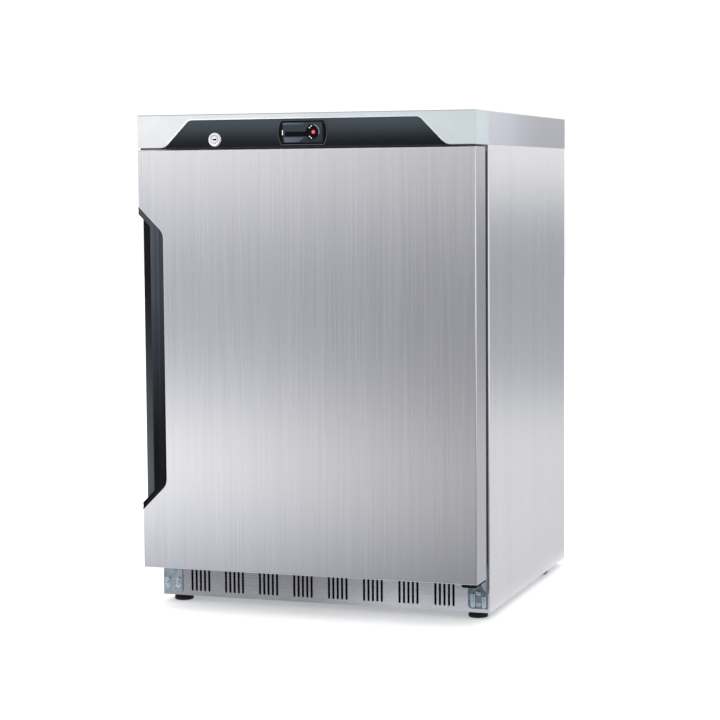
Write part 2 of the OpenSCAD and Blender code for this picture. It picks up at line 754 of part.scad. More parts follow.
// Shelves
module shelf(z) {
    y0 = -205;
    y1 = 250;
    xr = cold_x - 9;
    for (s = [-1, 1]) rod_y(s * xr, y0, y1, z, shelf_rod_r);
    for (y = [y0, y1]) rod_x(-xr, xr, y, z, shelf_rod_r);
    rod_x(-xr, xr, (y0 + y1) / 2, z, shelf_rod_r - 0.5);
    for (x = [-xr, xr], y = [y0, y1]) translate([x, y, z]) sphere(shelf_rod_r);
    for (i = [1:shelf_wires]) rod_y(-xr + 2 * xr * i / (shelf_wires + 1), y0, y1, z + shelf_rod_r - 0.5, 1.5);
}
module shelf_upper() {
    color([0.82, 0.83, 0.85]) shelf(shelf_high_z);
}
module shelf_lower() {
    color([0.82, 0.83, 0.85]) shelf(shelf_low_z);
}
module shelf_clips() {
    color([0.92, 0.93, 0.95]) for (s = [0, 1], z = [shelf_low_z, shelf_high_z], y = [-170, 150])
        mirror([s, 0, 0]) {
            box(cold_x - 14, cold_x, y, y + 14, z - shelf_rod_r - 5, z - shelf_rod_r - soft_gap);
            box(cold_x - 3, cold_x, y, y + 14, z - shelf_rod_r - 5, z + 6);
        }
}

// Back
module rear_grille() {
    color([0.62, 0.66, 0.70]) difference() {
        box(-inner_x, inner_x, rear_y, rear_y + 1.2, pan_z + 0.2, deck_top_z + 0.8);
        in_xz(rear_y - 1, rear_y + 3) for (c = [-1.5:1:1.5], i = [0:12])
            translate([c * 120, 70 + i * 13]) rotate(90) slot2d(3.6, 96);
        for (s = rear_screws) rod_y(s.x, rear_y - 1, rear_y + 3, s.y, screw_r + 0.1);
        rod_y(220, rear_y - 1, rear_y + 3, 40, 9);
    }
}
module cord_gland() {
    color([0.06, 0.06, 0.06]) difference() {
        union() {
            rod_y(220, rear_y + 1.2, back_y - 0.2, 40, 12);
            rod_y(220, rear_y, rear_y + 1.2, 40, 9);
            rod_y(220, rear_y - 14, rear_y, 40, 11);
        }
        rod_y(220, rear_y - 15, back_y + 1, 40, 4.2);
    }
}

// Door
module door_skin() {
    color([0.74, 0.74, 0.77]) difference() {
        box(-half_w, half_w, front_y, door_back_y, door_z0, door_z1);
        box(-inner_x, inner_x, front_y + sheet, door_back_y + 1, door_z0 + sheet, door_z1 - sheet);
        grip_block(front_y - 1, front_y + grip_d + 2);
        keeper_slot(door_z1 - 2, door_z1 + 1);
        for (z = [door_z0, door_z1]) rod_z(hinge_x, hinge_y, z - 2, z + 2, bush_r);
    }
}
// Pocket behind the door's front sheet: d is the thickness of its walls
module grip_cup(y0, d) {
    box(-half_w + grip_w - 6, -half_w + grip_w + 20 - d, y0, front_y + grip_d + 2 - d,
        grip_z - 224 + d, grip_z + 224 - d);
}
module handle_moulding() {
    color([0.07, 0.07, 0.08]) difference() {
        union() {
            intersection() {
                grip_block(front_y, front_y + grip_d + 2);
                box(-half_w, 0, front_y, door_back_y, door_z0, door_z1);
            }
            grip_cup(front_y + sheet, 0);
        }
        grip_block(front_y - 1, front_y + grip_d, grip_lip, grip_side_lip, 5);
        grip_block(front_y + lip_t, front_y + grip_d, 2, 2, 20);
        grip_cup(front_y + lip_t, 2);
    }
}
module door_foam() {
    color([0.93, 0.88, 0.70]) difference() {
        box(-inner_x, inner_x, front_y + sheet, door_back_y - 2, door_z0 + sheet, door_z1 - sheet);
        grip_block(front_y - 1, front_y + grip_d + 2);
        grip_cup(front_y + sheet, 0);
        box(keeper_x0 - 2, keeper_x1 + 2, cam_y - 4, cam_y + cam_t + 4, door_z1 - 17, door_z1);
        rod_z(hinge_x, hinge_y, door_z0, door_z0 + bush_len, bush_r);
        rod_z(hinge_x, hinge_y, door_z1 - bush_len, door_z1, bush_r);
    }
}
module door_inner_panel() {
    color([0.93, 0.94, 0.95]) {
        box(-inner_x, inner_x, door_back_y - 2, door_back_y, door_z0 + sheet, door_z1 - sheet);
        in_xz(door_back_y - 1, door_back_y + 16) difference() {
            round_rect(-cold_x + 20, cold_x - 20, cold_z0 + 20, cold_z1 - 20, 20);
            round_rect(-cold_x + 40, cold_x - 40, cold_z0 + 40, cold_z1 - 40, 10);
        }
    }
}
module gasket_ring(y0, y1, d, w) {
    in_xz(y0, y1) difference() {
        translate([-gasket_x + d, gasket_z0 + d]) square([2 * (gasket_x - d), gasket_z1 - gasket_z0 - 2 * d]);
        translate([-gasket_x + d + w, gasket_z0 + d + w])
            square([2 * (gasket_x - d - w), gasket_z1 - gasket_z0 - 2 * (d + w)]);
    }
}
module door_gasket() {
    color([0.22, 0.23, 0.25]) {
        gasket_ring(door_back_y, door_back_y + 5, 0, gasket_w);
        gasket_ring(door_back_y + 5, door_back_y + 13, 5, gasket_w - 10);
        gasket_ring(door_back_y + 13, cab_y - soft_gap, 1.5, gasket_w - 3);
    }
}
module hinge_bushes() {
    color([0.90, 0.90, 0.88]) for (z = [door_z0, door_z1 - bush_len]) difference() {
        rod_z(hinge_x, hinge_y, z, z + bush_len, bush_r);
        rod_z(hinge_x, hinge_y, z - 1, z + bush_len + 1, pin_r + fit);
    }
}
module lock_keeper() {
    color([0.70, 0.72, 0.75]) difference() {
        box(keeper_x0 - 2, keeper_x1 + 2, cam_y - 4, cam_y + cam_t + 4, door_z1 - 17, door_z1 - sheet);
        keeper_slot(door_z1 - 15, door_z1 + 1);
    }
}

side_panel_left();
side_panel_right();
back_panel();
base_deck();
front_frame();
inner_liner();
cabinet_foam();
base_pan();
worktop();
worktop_core();
control_moulding();
control_fascia();
controller_case();
controller_frame();
controller_lens();
control_board();
lock_housing();
upper_hinge_bracket();
lower_hinge_bracket();
hinge_pins();
spare_hinge_plate();
case_screws();
kick_grille();
roller_brackets();
compressor();
compressor_mounts();
condenser();
condenser_fan_motor();
filter_drier();
refrigerant_pipes();
evaporator();
evaporator_cover();
evaporator_fan_motor();
drain_tube();
evaporation_pan();
temperature_probe();
shelf_clips();
rear_grille();
cord_gland();
door_skin();
door_foam();
door_inner_panel();
door_gasket();
handle_moulding();
hinge_bushes();
lock_keeper();
lock_cylinder();
lock_cam();
key_select();
key_up();
key_down();
front_foot_left();
front_foot_right();
rear_roller_left();
rear_roller_right();
condenser_fan();
evaporator_fan();
shelf_upper();
shelf_lower();
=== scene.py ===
"""Looks of the undercounter refrigerator: pieces, materials, light and camera."""

import json
import math

import bmesh
import bpy
from mathutils import Matrix, Vector


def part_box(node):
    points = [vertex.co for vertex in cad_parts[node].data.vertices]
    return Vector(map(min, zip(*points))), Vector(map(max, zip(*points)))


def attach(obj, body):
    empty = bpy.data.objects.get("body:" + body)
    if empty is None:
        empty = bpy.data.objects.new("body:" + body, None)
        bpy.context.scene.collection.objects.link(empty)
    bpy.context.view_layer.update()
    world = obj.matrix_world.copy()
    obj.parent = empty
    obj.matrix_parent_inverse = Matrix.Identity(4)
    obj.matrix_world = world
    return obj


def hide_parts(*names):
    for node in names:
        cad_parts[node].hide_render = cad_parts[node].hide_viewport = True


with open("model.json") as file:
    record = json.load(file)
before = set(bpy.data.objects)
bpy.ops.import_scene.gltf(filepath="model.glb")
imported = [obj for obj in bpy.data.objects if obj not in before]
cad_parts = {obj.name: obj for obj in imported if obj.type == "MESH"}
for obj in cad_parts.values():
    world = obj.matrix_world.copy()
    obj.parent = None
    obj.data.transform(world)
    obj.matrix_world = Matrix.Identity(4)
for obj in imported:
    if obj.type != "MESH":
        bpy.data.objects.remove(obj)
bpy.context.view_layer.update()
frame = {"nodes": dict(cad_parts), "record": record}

MM = 0.001
SHARP = math.radians(31)  # edges that fold more than this stay crisp
COLLECTION = bpy.context.scene.collection


def span(node):
    """Lowest and highest corner of a CAD node, in millimetres."""
    lo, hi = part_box(node)
    return lo / MM, hi / MM


# ---- sizes, in millimetres
SKIN_LO, SKIN_HI = span("door_skin")
MOULD_LO, MOULD_HI = span("control_moulding")
FASCIA_LO, FASCIA_HI = span("control_fascia")
TOP_LO, TOP_HI = span("worktop")
GRIP_LO, GRIP_HI = span("handle_moulding")
GASKET_LO, GASKET_HI = span("door_gasket")
KICK_LO, KICK_HI = span("kick_grille")
CTRL_LO, CTRL_HI = span("controller_frame")
LENS_LO, LENS_HI = span("controller_lens")
FRONT = SKIN_LO.y
HALF_W = SKIN_HI.x
CAB_Y = KICK_LO.y
ARM_Y = -288  # middle of the round corners of the lower hinge's arm

# handle recess: width, lip on the slants, lip on the upright side, depth of the lip, radius of the corners
GRIP_W = 44
GRIP_LIP = 8
GRIP_SIDE_LIP = 23
LIP_T = 4
GRIP_R = 22

# controller: middle, bulge of its ends, dial round its keys, front of its marks
CTRL_X, CTRL_Z = (CTRL_LO.x + CTRL_HI.x) / 2, (CTRL_LO.z + CTRL_HI.z) / 2
CTRL_BULGE = 6
DIAL_X, DIAL_R = CTRL_X + 17, 11.5
MARKS_Y = LENS_LO.y - 0.12


# ---- outlines
def arc(cx, cy, r, a0, a1, n):
    """Points on an arc, angles in degrees."""
    angles = [math.radians(a0 + (a1 - a0) * i / n) for i in range(n + 1)]
    return [(cx + r * math.cos(a), cy + r * math.sin(a)) for a in angles]


def rounded(x0, x1, y0, y1, r, n=6):
    """Rectangle with round corners, counter-clockwise."""
    corners = [(x1 - r, y1 - r, 0), (x0 + r, y1 - r, 90), (x0 + r, y0 + r, 180), (x1 - r, y0 + r, 270)]
    return [p for cx, cy, a in corners for p in arc(cx, cy, r, a, a + 90, n)]


def rectangle(lo, hi):
    """Rectangle between two corners, counter-clockwise."""
    return [(lo[0], lo[1]), (hi[0], lo[1]), (hi[0], hi[1]), (lo[0], hi[1])]


def stadium(cx, cy, w, h, n=8):
    """Upright slot with round ends, counter-clockwise."""
    r = w / 2
    return arc(cx, cy + h / 2 - r, r, 0, 180, n) + arc(cx, cy - h / 2 + r, r, 180, 360, n)


def barrel(cx, cy, w, h, bulge, n=8):
    """Rectangle whose two ends bulge outwards, counter-clockwise."""
    r = (h * h / 4 + bulge * bulge) / (2 * bulge)
    a = math.degrees(math.asin(h / 2 / r))
    return arc(cx + w / 2 - r, cy, r, -a, a, n) + arc(cx - w / 2 + r, cy, r, 180 - a, 180 + a, n)


def inset(outline, d):
    """A counter-clockwise outline moved inwards by d, with mitred corners."""
    out = []
    for i, (x, y) in enumerate(outline):
        px, py = outline[i - 1]
        nx, ny = outline[(i + 1) % len(outline)]
        a = Vector((py - y, x - px)).normalized()
        b = Vector((y - ny, nx - x)).normalized()
        m = (a + b) / max(1 + a.dot(b), 0.3)
        out.append((x + m.x * d, y + m.y * d))
    return out


def grip_upper(d, s, r):
    """Upper half of the handle recess, from its upright side to the door's edge."""
    x1 = -HALF_W + GRIP_W - s
    end_z = GRIP_HI.z - math.sqrt(2) * d
    cx, cz = x1 - r, end_z - (GRIP_W - s) - r * math.tan(math.radians(22.5))
    return arc(cx, cz, r, 0, 45, 8) + [(-HALF_W, end_z)]


def grip_path(d, s, r):
    """Whole edge of the handle recess, from the lower to the upper end."""
    mid_z = (GRIP_LO.z + GRIP_HI.z) / 2
    upper = grip_upper(d, s, r)
    return [(x, 2 * mid_z - z) for x, z in reversed(upper)] + upper


# ---- meshes
def in_xz(u, v, w):
    return Vector((u, w, v))


def in_xy(u, v, w):
    return Vector((u, v, w))


def in_yz(u, v, w):
    return Vector((w, u, v))


def add_band(bm, a, b):
    """Quads between two closed loops of the same length."""
    for i in range(len(a)):
        j = (i + 1) % len(a)
        bm.faces.new((a[i], a[j], b[j], b[i]))


def add_loft(bm, outline, rings, place=in_xz, closed=False):
    """Rings of (inset, depth) round an outline, joined by quads, with both ends filled unless closed."""
    loops = []
    for d, w in rings:
        loops.append([bm.verts.new(place(u, v, w) * MM) for u, v in inset(outline, d)])
    for a, b in zip(loops, loops[1:]):
        add_band(bm, a, b)
    if closed:
        add_band(bm, loops[-1], loops[0])
        return
    ends = [bm.faces.new(loops[0][::-1]), bm.faces.new(loops[-1])]
    for end in ends:
        end.normal_update()
    if len(outline) > 4:
        bmesh.ops.triangulate(bm, faces=ends)


def add_ribbon(bm, outer, inner, profile, y):
    """Closed profile of (share of the way from outer to inner, depth behind y) along two open paths."""
    loops = []
    for (x0, z0), (x1, z1) in zip(outer, inner):
        ring = [(x0 + (x1 - x0) * t, y + depth, z0 + (z1 - z0) * t) for t, depth in profile]
        loops.append([bm.verts.new(Vector(p) * MM) for p in ring])
    for a, b in zip(loops, loops[1:]):
        add_band(bm, a, b)
    bm.faces.new(loops[0][::-1])
    bm.faces.new(loops[-1])


def fillet(r, w, into, n=4):
    """Rings of a round edge of radius r that starts at depth w; into is the depth's direction."""
    angles = [math.pi / 2 * i / n for i in range(n + 1)]
    return [(r * (1 - math.sin(a)), w + into * r * (1 - math.cos(a))) for a in angles]


def slab_rings(w0, w1, r, n=4):
    """Rings of a slab from depth w0 to w1 with both its edges rounded."""
    into = 1 if w1 > w0 else -1
    back = [(d, w) for d, w in reversed(fillet(r, w1, -into, n))]
    return fillet(r, w0, into, n) + back


def tray_rings(w0, w1, r, t):
    """Rings of a folded tray: outer face at w0, outer edge radius r, walls back to w1, thickness t."""
    into = 1 if w1 > w0 else -1
    inner = [(d + t, w + into * t) for d, w in reversed(fillet(max(r - t, 0.2), w0, into, 3))]
    rim = [(0, w1 - into * 0.2), (0.2, w1), (t - 0.2, w1), (t, w1 - into * 0.2)]
    return fillet(r, w0, into) + rim + inner


def add_block(bm, lo, hi, r=0.0, n=3):
    """Box with rounded edges."""
    size = Vector(hi) - Vector(lo)
    made = bmesh.ops.create_cube(bm, size=1.0)["verts"]
    bmesh.ops.scale(bm, vec=size * MM, verts=made)
    bmesh.ops.translate(bm, vec=(Vector(lo) + Vector(hi)) / 2 * MM, verts=made)
    if r:
        edges = {e for v in made for e in v.link_edges}
        bmesh.ops.bevel(bm, geom=list(edges), offset=r * MM, segments=n, profile=0.5, affect="EDGES")


def add_turned(bm, centre, profile, axis, n=48):
    """Surface of revolution through (radius, distance along the axis) points."""
    axis = Vector(axis)
    side = axis.orthogonal().normalized()
    up = axis.cross(side)
    loops = []
    for r, h in profile:
        base = Vector(centre) + axis * h
        if r < 1e-6:
            loops.append([bm.verts.new(base * MM)])
            continue
        turns = [2 * math.pi * i / n for i in range(n)]
        loops.append([bm.verts.new((base + (side * math.cos(a) + up * math.sin(a)) * r) * MM) for a in turns])
    for a, b in zip(loops, loops[1:]):
        if len(a) == len(b):
            add_band(bm, a, b)
            continue
        for i in range(n):
            j = (i + 1) % n
            bm.faces.new((a[0], b[j], b[i]) if len(a) == 1 else (a[i], a[j], b[0]))


def add_plate(bm, loops, w0, w1, bevel=0.3, place=in_xz):
    """Flat plate with holes: the first loop is its outline and the others are holes."""
    curve = bpy.data.curves.new("plate", "CURVE")
    curve.dimensions = "2D"
    curve.fill_mode = "BOTH"
    curve.extrude = abs(w1 - w0) / 2 - bevel
    curve.bevel_depth = bevel
    curve.bevel_resolution = 1
    curve.offset = -bevel
    for loop in loops:
        spline = curve.splines.new("POLY")
        spline.points.add(len(loop) - 1)
        for point, (u, v) in zip(spline.points, loop):
            point.co = (u, v, 0, 1)
        spline.use_cyclic_u = True
    holder = bpy.data.objects.new("plate", curve)
    COLLECTION.objects.link(holder)
    mesh = bpy.data.meshes.new_from_object(holder.evaluated_get(bpy.context.evaluated_depsgraph_get()))
    for v in mesh.vertices:
        v.co = place(v.co.x, v.co.y, v.co.z + (w0 + w1) / 2) * MM
    before = set(bm.verts)
    bm.from_mesh(mesh)
    bmesh.ops.remove_doubles(bm, verts=[v for v in bm.verts if v not in before], dist=1e-7)
    bpy.data.objects.remove(holder)
    bpy.data.curves.remove(curve)
    bpy.data.meshes.remove(mesh)


def add_slotted_wall(bm, lo, hi, past_cam):
    """Flat wall with a slot for the lock's cam; the slot ends past_cam to the right of the cam."""
    cam_lo, cam_hi = span("lock_cam")
    slot_w = 36
    x0, x1, y0, y1 = cam_hi.x - slot_w, cam_hi.x + past_cam, cam_lo.y - 1, cam_hi.y + 2
    strips = [(lo[0], x0, lo[1], hi[1]), (x1, hi[0], lo[1], hi[1]), (x0, x1, lo[1], y0), (x0, x1, y1, hi[1])]
    for left, right, front, back in strips:
        if back - front > 0.01:
            add_block(bm, (left, front, lo[2]), (right, back, hi[2]))


def piece(name, bm, material, body, nodes=()):
    """Turns a bmesh into a finished piece that rides on a body and stands for CAD nodes."""
    bmesh.ops.recalc_face_normals(bm, faces=bm.faces)
    for f in bm.faces:
        f.smooth = True
    for e in bm.edges:
        e.smooth = e.calc_face_angle(0) < SHARP
    mesh = bpy.data.meshes.new(name)
    bm.to_mesh(mesh)
    bm.free()
    obj = bpy.data.objects.new(name, mesh)
    COLLECTION.objects.link(obj)
    mesh.materials.append(material)
    flat = obj.modifiers.new("flat_faces", "WEIGHTED_NORMAL")
    flat.keep_sharp = True
    flat.weight = 90
    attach(obj, body)
    if nodes:
        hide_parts(*nodes)
    return obj


def paint_faces(obj, material, chosen):
    """Gives the chosen faces a second material."""
    obj.data.materials.append(material)
    for polygon in obj.data.polygons:
        if chosen(polygon):
            polygon.material_index = 1


def is_side(polygon):
    """Whether a face looks to the left or right."""
    return abs(polygon.normal.x) > 0.93


# ---- materials
class Finish:
    """A procedural material around one Principled shader, in the object's own coordinates."""

    def __init__(self, name, colour, metallic=0.0, roughness=0.5, **sockets):
        self.mat = bpy.data.materials.new(name)
        self.mat.use_nodes = True
        self.tree = self.mat.node_tree
        self.bsdf = self.tree.nodes["Principled BSDF"]
        self.colour = colour
        self.put("Base Color", (*colour, 1))
        self.put("Metallic", metallic)
        self.put("Roughness", roughness)
        for key, value in sockets.items():
            self.put(key.replace("_", " ").title().replace("Ior", "IOR"), value)
        self.coords = self.tree.nodes.new("ShaderNodeTexCoord").outputs["Object"]

    def put(self, socket, value):
        self.bsdf.inputs[socket].default_value = value

    def link(self, output, socket):
        self.tree.links.new(output, self.bsdf.inputs[socket])

    def node(self, kind, inputs, **settings):
        """New node with its settings; an input takes a value or another node's output."""
        node = self.tree.nodes.new("ShaderNode" + kind)
        for key, value in settings.items():
            setattr(node, key, value)
        for key, value in inputs.items():
            if isinstance(value, bpy.types.NodeSocket):
                self.tree.links.new(value, node.inputs[key])
            else:
                node.inputs[key].default_value = value
        return node

    def noise(self, scale, stretch=(1, 1, 1), detail=3.0, distortion=0.0):
        mapping = self.node("Mapping", {"Scale": stretch, "Vector": self.coords})
        inputs = {"Scale": scale, "Detail": detail, "Distortion": distortion}
        return self.node("TexNoise", {"Vector": mapping.outputs["Vector"], **inputs}).outputs["Fac"]

    def cells(self, scale):
        cells = self.node("TexVoronoi", {"Scale": scale, "Vector": self.coords})
        return self.node("RGBToBW", {"Color": cells.outputs["Color"]}).outputs["Val"]

    def remap(self, value, start, end, low=0.0, high=1.0, **settings):
        """Maps start..end to low..high."""
        inputs = {"Value": value, "From Min": start, "From Max": end, "To Min": low, "To Max": high}
        return self.node("MapRange", inputs, **settings).outputs["Result"]

    def spread(self, noise, low, high):
        """Maps the usual range of a noise to low..high."""
        return self.remap(noise, 0.3, 0.7, low, high)

    def place(self, axis, start, end, **settings):
        """A value that runs from 0 to 1 between two places along an axis, in metres."""
        split = self.node("SeparateXYZ", {"Vector": self.coords})
        return self.remap(split.outputs[axis], start, end, **settings)

    def add(self, *values):
        out = values[0]
        for value in values[1:]:
            out = self.node("Math", {0: out, 1: value}).outputs[0]
        return out

    def mix(self, amount, a, b, blend="MIX"):
        """Two colours blended by amount."""
        inputs = {"Factor": amount, 6: a, 7: b}
        return self.node("Mix", inputs, data_type="RGBA", blend_type=blend).outputs[2]

    def tint(self, fac, dark, light):
        """Base colour between two multiples of the main colour."""
        ends = [(*[min(c * gain, 1) for c in self.colour], 1) for gain in (dark, light)]
        tinted = self.mix(fac, *ends)
        self.link(tinted, "Base Color")
        return tinted

    def rough(self, fac, low, high):
        self.link(self.spread(fac, low, high), "Roughness")

    def bump(self, height, distance, strength):
        node = self.node("Bump", {"Distance": distance, "Strength": strength, "Height": height})
        self.link(node.outputs["Normal"], "Normal")

    def ramp(self, fac, stops):
        """Colour ramp through (position, colour) stops."""
        node = self.node("ValToRGB", {"Fac": fac})
        elements = node.color_ramp.elements
        while len(elements) < len(stops):
            elements.new(0.5)
        for element, (position, colour) in zip(elements, stops):
            element.position = position
            element.color = (*colour, 1)
        return node.outputs["Color"]

    def shade(self, colour, axis, stops):
        """A colour multiplied by grey (place along the axis in metres, tone) stops."""
        start, end = stops[0][0], stops[-1][0]
        tones = [((place - start) / (end - start), (tone, tone, tone)) for place, tone in stops]
        return self.mix(1.0, colour, self.ramp(self.place(axis, start, end), tones), "MULTIPLY")


def brushed(name, along, colour=(0.575, 0.572, 0.592), roughness=0.25, turn=0.0, size=1.0, depth=0.06,
            shade=(), streak=0.6):
    """Brushed stainless steel with its grain along x, y or z, made coarser by size and stronger by depth.
    shade is an axis and its tones. streak and turn are the strength and direction of the highlights."""
    f = Finish(name, colour, 1.0, roughness, anisotropic=streak, anisotropic_rotation=turn)
    axis = "xyz".index(along)
    stretched = [tuple(g if i == axis else 1 for i in range(3)) for g in (0.006, 0.010, 0.02)]
    fine = f.noise(760 / size, stretched[0], 2)
    mid = f.noise(300 / size, stretched[1], 3)
    broad = f.noise(46 / size, stretched[2], 2)
    tone = f.add(f.spread(fine, 0, 0.62), f.spread(mid, 0, 0.26), f.spread(broad, 0, 0.12))
    steel = f.tint(tone, 1 - depth * 1.15, 1 + depth)
    if shade:
        f.link(f.shade(steel, *shade), "Base Color")
    f.rough(fine, roughness - 0.01, roughness + 0.015)
    f.bump(fine, 0.00003, 0.3)
    return f.mat


def moulded(name, colour, roughness=0.4, grain=900, depth=0.00006, **sockets):
    """Injection-moulded plastic with a fine texture and a slight tone change."""
    f = Finish(name, colour, 0.0, roughness, **sockets)
    f.tint(f.noise(9, detail=3), 0.94, 1.05)
    f.rough(f.noise(70), roughness - 0.05, roughness + 0.06)
    f.bump(f.noise(grain, detail=2), depth, 0.6)
    return f.mat


def graded(name, low, high, start, end, roughness, axis="Z", stripes=(), **sockets):
    """Moulded plastic whose tone runs from low to high between two places along an axis, in metres, and is
    multiplied by (x, tone) stripes."""
    f = Finish(name, high, 0.0, roughness, **sockets)
    ramp = f.place(axis, start, end, interpolation_type="SMOOTHSTEP")
    colour = f.mix(0.25, f.mix(ramp, (*low, 1), (*high, 1)), f.noise(14, detail=4), "MULTIPLY")
    if stripes:
        colour = f.shade(colour, "X", stripes)
    f.link(colour, "Base Color")
    f.rough(f.noise(70), roughness - 0.05, roughness + 0.06)
    f.bump(f.noise(800, detail=2), 0.00004, 0.5)
    return f.mat


def galvanised(name, colour):
    """Zinc-coated sheet with its crystal pattern."""
    f = Finish(name, colour, 0.85, 0.38)
    flakes = f.cells(210)
    f.tint(f.add(f.spread(flakes, 0.0, 0.6), f.spread(f.noise(40), 0, 0.4)), 0.72, 1.22)
    f.rough(flakes, 0.28, 0.46)
    f.bump(flakes, 0.0001, 0.3)
    return f.mat


def metal(name, colour, roughness=0.25, wear=30):
    """Plated or drawn metal with light tarnish and fine scratches."""
    f = Finish(name, colour, 1.0, roughness)
    f.tint(f.noise(wear, detail=5, distortion=0.4), 0.8, 1.1)
    f.rough(f.noise(300, (1, 1, 0.1)), roughness - 0.06, roughness + 0.1)
    f.bump(f.noise(700, detail=2), 0.00004, 0.4)
    return f.mat


def coated(name, colour, roughness=0.35):
    """Powder or enamel coat."""
    f = Finish(name, colour, 0.0, roughness, coat_weight=0.3, coat_roughness=0.2)
    f.tint(f.noise(12, detail=4), 0.92, 1.06)
    f.rough(f.noise(90), roughness - 0.06, roughness + 0.08)
    f.bump(f.noise(160, detail=2), 0.0003, 0.25)
    return f.mat


def rubber(name, colour, roughness=0.7, shine=0.5):
    """Rubber with a dusty, uneven skin."""
    f = Finish(name, colour, 0.0, roughness, specular_ior_level=shine)
    f.tint(f.noise(60, detail=5), 0.75, 1.35)
    f.rough(f.noise(200), roughness - 0.1, roughness + 0.1)
    f.bump(f.noise(1200, detail=3), 0.00012, 0.5)
    return f.mat


def foam(name, colour):
    """Rigid foam with its cells."""
    f = Finish(name, colour, 0.0, 0.9)
    f.tint(f.noise(60, detail=6), 0.8, 1.1)
    f.bump(f.cells(900), 0.0006, 0.7)
    return f.mat


def board(name, colour):
    """Chipboard with its flakes."""
    f = Finish(name, colour, 0.0, 0.8)
    f.tint(f.cells(500), 0.7, 1.15)
    f.bump(f.cells(500), 0.0004, 0.6)
    return f.mat


# Painted shade and sheen that follow the photograph: multiples of a colour at places in metres along one
# axis. The kick grille darkens to its left, the worktop's sides darken to the back, the handle lip has bands
# of painted sheen, and the controller face darkens towards both ends.
KICK_PAINTED_SHADE = ((-0.3, 0.48), (-0.02, 0.51), (0.05, 0.68), (0.13, 0.92), (0.3, 0.92))
WORKTOP_SIDE_PAINTED_SHADE = ((-0.23, 1.0), (-0.16, 0.96), (-0.09, 0.86), (-0.02, 0.71), (0.06, 0.62), (0.13, 0.55),
              (0.315, 0.49))
LIP_PAINTED_SHEEN = ((-0.280, 0.75), (-0.277, 1.0), (-0.271, 0.85), (-0.2695, 0.55), (-0.266, 0.95), (-0.262, 0.5),
             (-0.255, 0.6))
LENS_TONES = ((-0.039, 0.03), (-0.0345, 0.1), (-0.032, 1.0), (0.034, 1.0), (0.0365, 0.1), (0.041, 0.03))

STEEL_UP = brushed("steel_vertical_grain", "z")
STEEL_SIDE = brushed("steel_side_panel", "z", size=4, depth=0.065)
STEEL_ACROSS = brushed("steel_grain_across", "x", (0.53, 0.53, 0.575), 0.30, streak=0.0)
# painted shade: the kick grille's steel darkens towards its left
STEEL_KICK = brushed("steel_kick_grille", "x", (0.60, 0.60, 0.65), 0.27, 0.25, shade=("X", KICK_PAINTED_SHADE))
# painted shade: the worktop's sides get a darker copy of the steel that darkens further towards the back
STEEL_WORKTOP_SIDE_SHADED = brushed("steel_grain_front_to_back_painted_shade", "y", (0.405, 0.412, 0.480), 0.27, 0.25, depth=0.02,
                     shade=("Y", WORKTOP_SIDE_PAINTED_SHADE))
# painted shade: the door's sides get a darker copy of the steel
STEEL_DOOR_SIDE_SHADED = brushed("steel_door_side_painted_shade", "z", (0.38, 0.38, 0.41), 0.30)
# painted shade: the pale moulding darkens from left to right
PALE_MOULDING_SHADED = graded("light_moulding_painted_shade", (0.705, 0.72, 0.74), (0.54, 0.595, 0.63), -0.25, 0.28, 0.40, "X",
               specular_ior_level=0.4)
# painted highlight: a near-white strip that fades towards the right
RIM = graded("moulding_rim_highlight", (0.98, 0.99, 1.0), (0.66, 0.71, 0.74), -0.15, 0.22, 0.38, "X")
# painted shade: dark grey on the moulding's round top edge, under the worktop
MOULD_EDGE_SHADE = moulded("moulding_top_edge_painted_shade", (0.30, 0.32, 0.34), 0.45)
BLACK = moulded("black_moulding", (0.010, 0.011, 0.014), 0.40, 700, 0.0001, specular_ior_level=0.25)
# painted sheen: the black lip lightens towards the top and in bands across its width
LIP = graded("handle_lip", (0.003, 0.003, 0.005), (0.074, 0.087, 0.110), 0.26, 0.72, 0.36, stripes=LIP_PAINTED_SHEEN,
             specular_ior_level=0.1)
# painted sheen: the black pocket lightens towards its bottom
POCKET = graded("handle_pocket", (0.100, 0.112, 0.124), (0.003, 0.004, 0.007), 0.16, 0.60, 0.45,
                specular_ior_level=0.1)
# painted reflection: the black fascia lightens towards its top
FASCIA = graded("fascia_black", (0.003, 0.005, 0.008), (0.050, 0.065, 0.080), 0.801, 0.847, 0.34,
                specular_ior_level=0.13)
TRIM = moulded("controller_trim", (0.060, 0.054, 0.052), 0.32, specular_ior_level=0.3)
LENS = graded("controller_face", (0.012, 0.020, 0.026), (0.022, 0.036, 0.046), 0.806, 0.838, 0.14,
              stripes=LENS_TONES, specular_ior_level=0.2)
PANE = graded("display_pane", (0.090, 0.115, 0.170), (0.045, 0.060, 0.090), -0.04, 0.02, 0.14, "X",
              specular_ior_level=0.2)
DISPLAY = moulded("display_glass", (0.001, 0.001, 0.003), 0.12, 300, 0.00002, specular_ior_level=0.06)
WHITE_MARK = moulded("white_mark", (0.85, 0.87, 0.90), 0.35)
GREY_MARK = moulded("grey_mark", (0.30, 0.36, 0.40), 0.35)
RED_LAMP = moulded("red_lamp", (0.62, 0.03, 0.03), 0.22, emission_color=(1, 0.06, 0.05, 1),
                   emission_strength=0.22)
LAMP_GLINT = moulded("lamp_glint", (0.85, 0.45, 0.42), 0.25)
ZINC = galvanised("galvanised_sheet", (0.27, 0.315, 0.345))
# painted shade: a darker copy of the galvanised sheet for the hinge brackets
HINGE_ZINC_SHADED = galvanised("hinge_sheet_painted_shade", (0.16, 0.20, 0.235))
# painted highlight: the pressed bumps are lighter than the plates round them, in smoother zinc
BOSS = metal("zinc_boss", (0.40, 0.48, 0.53), 0.22)
BRIGHT = metal("bright_zinc", (0.84, 0.87, 0.90), 0.20)
SCREW = metal("screw_head", (0.36, 0.41, 0.44), 0.26)
CHROME = metal("lock_chrome", (0.74, 0.75, 0.77), 0.20)
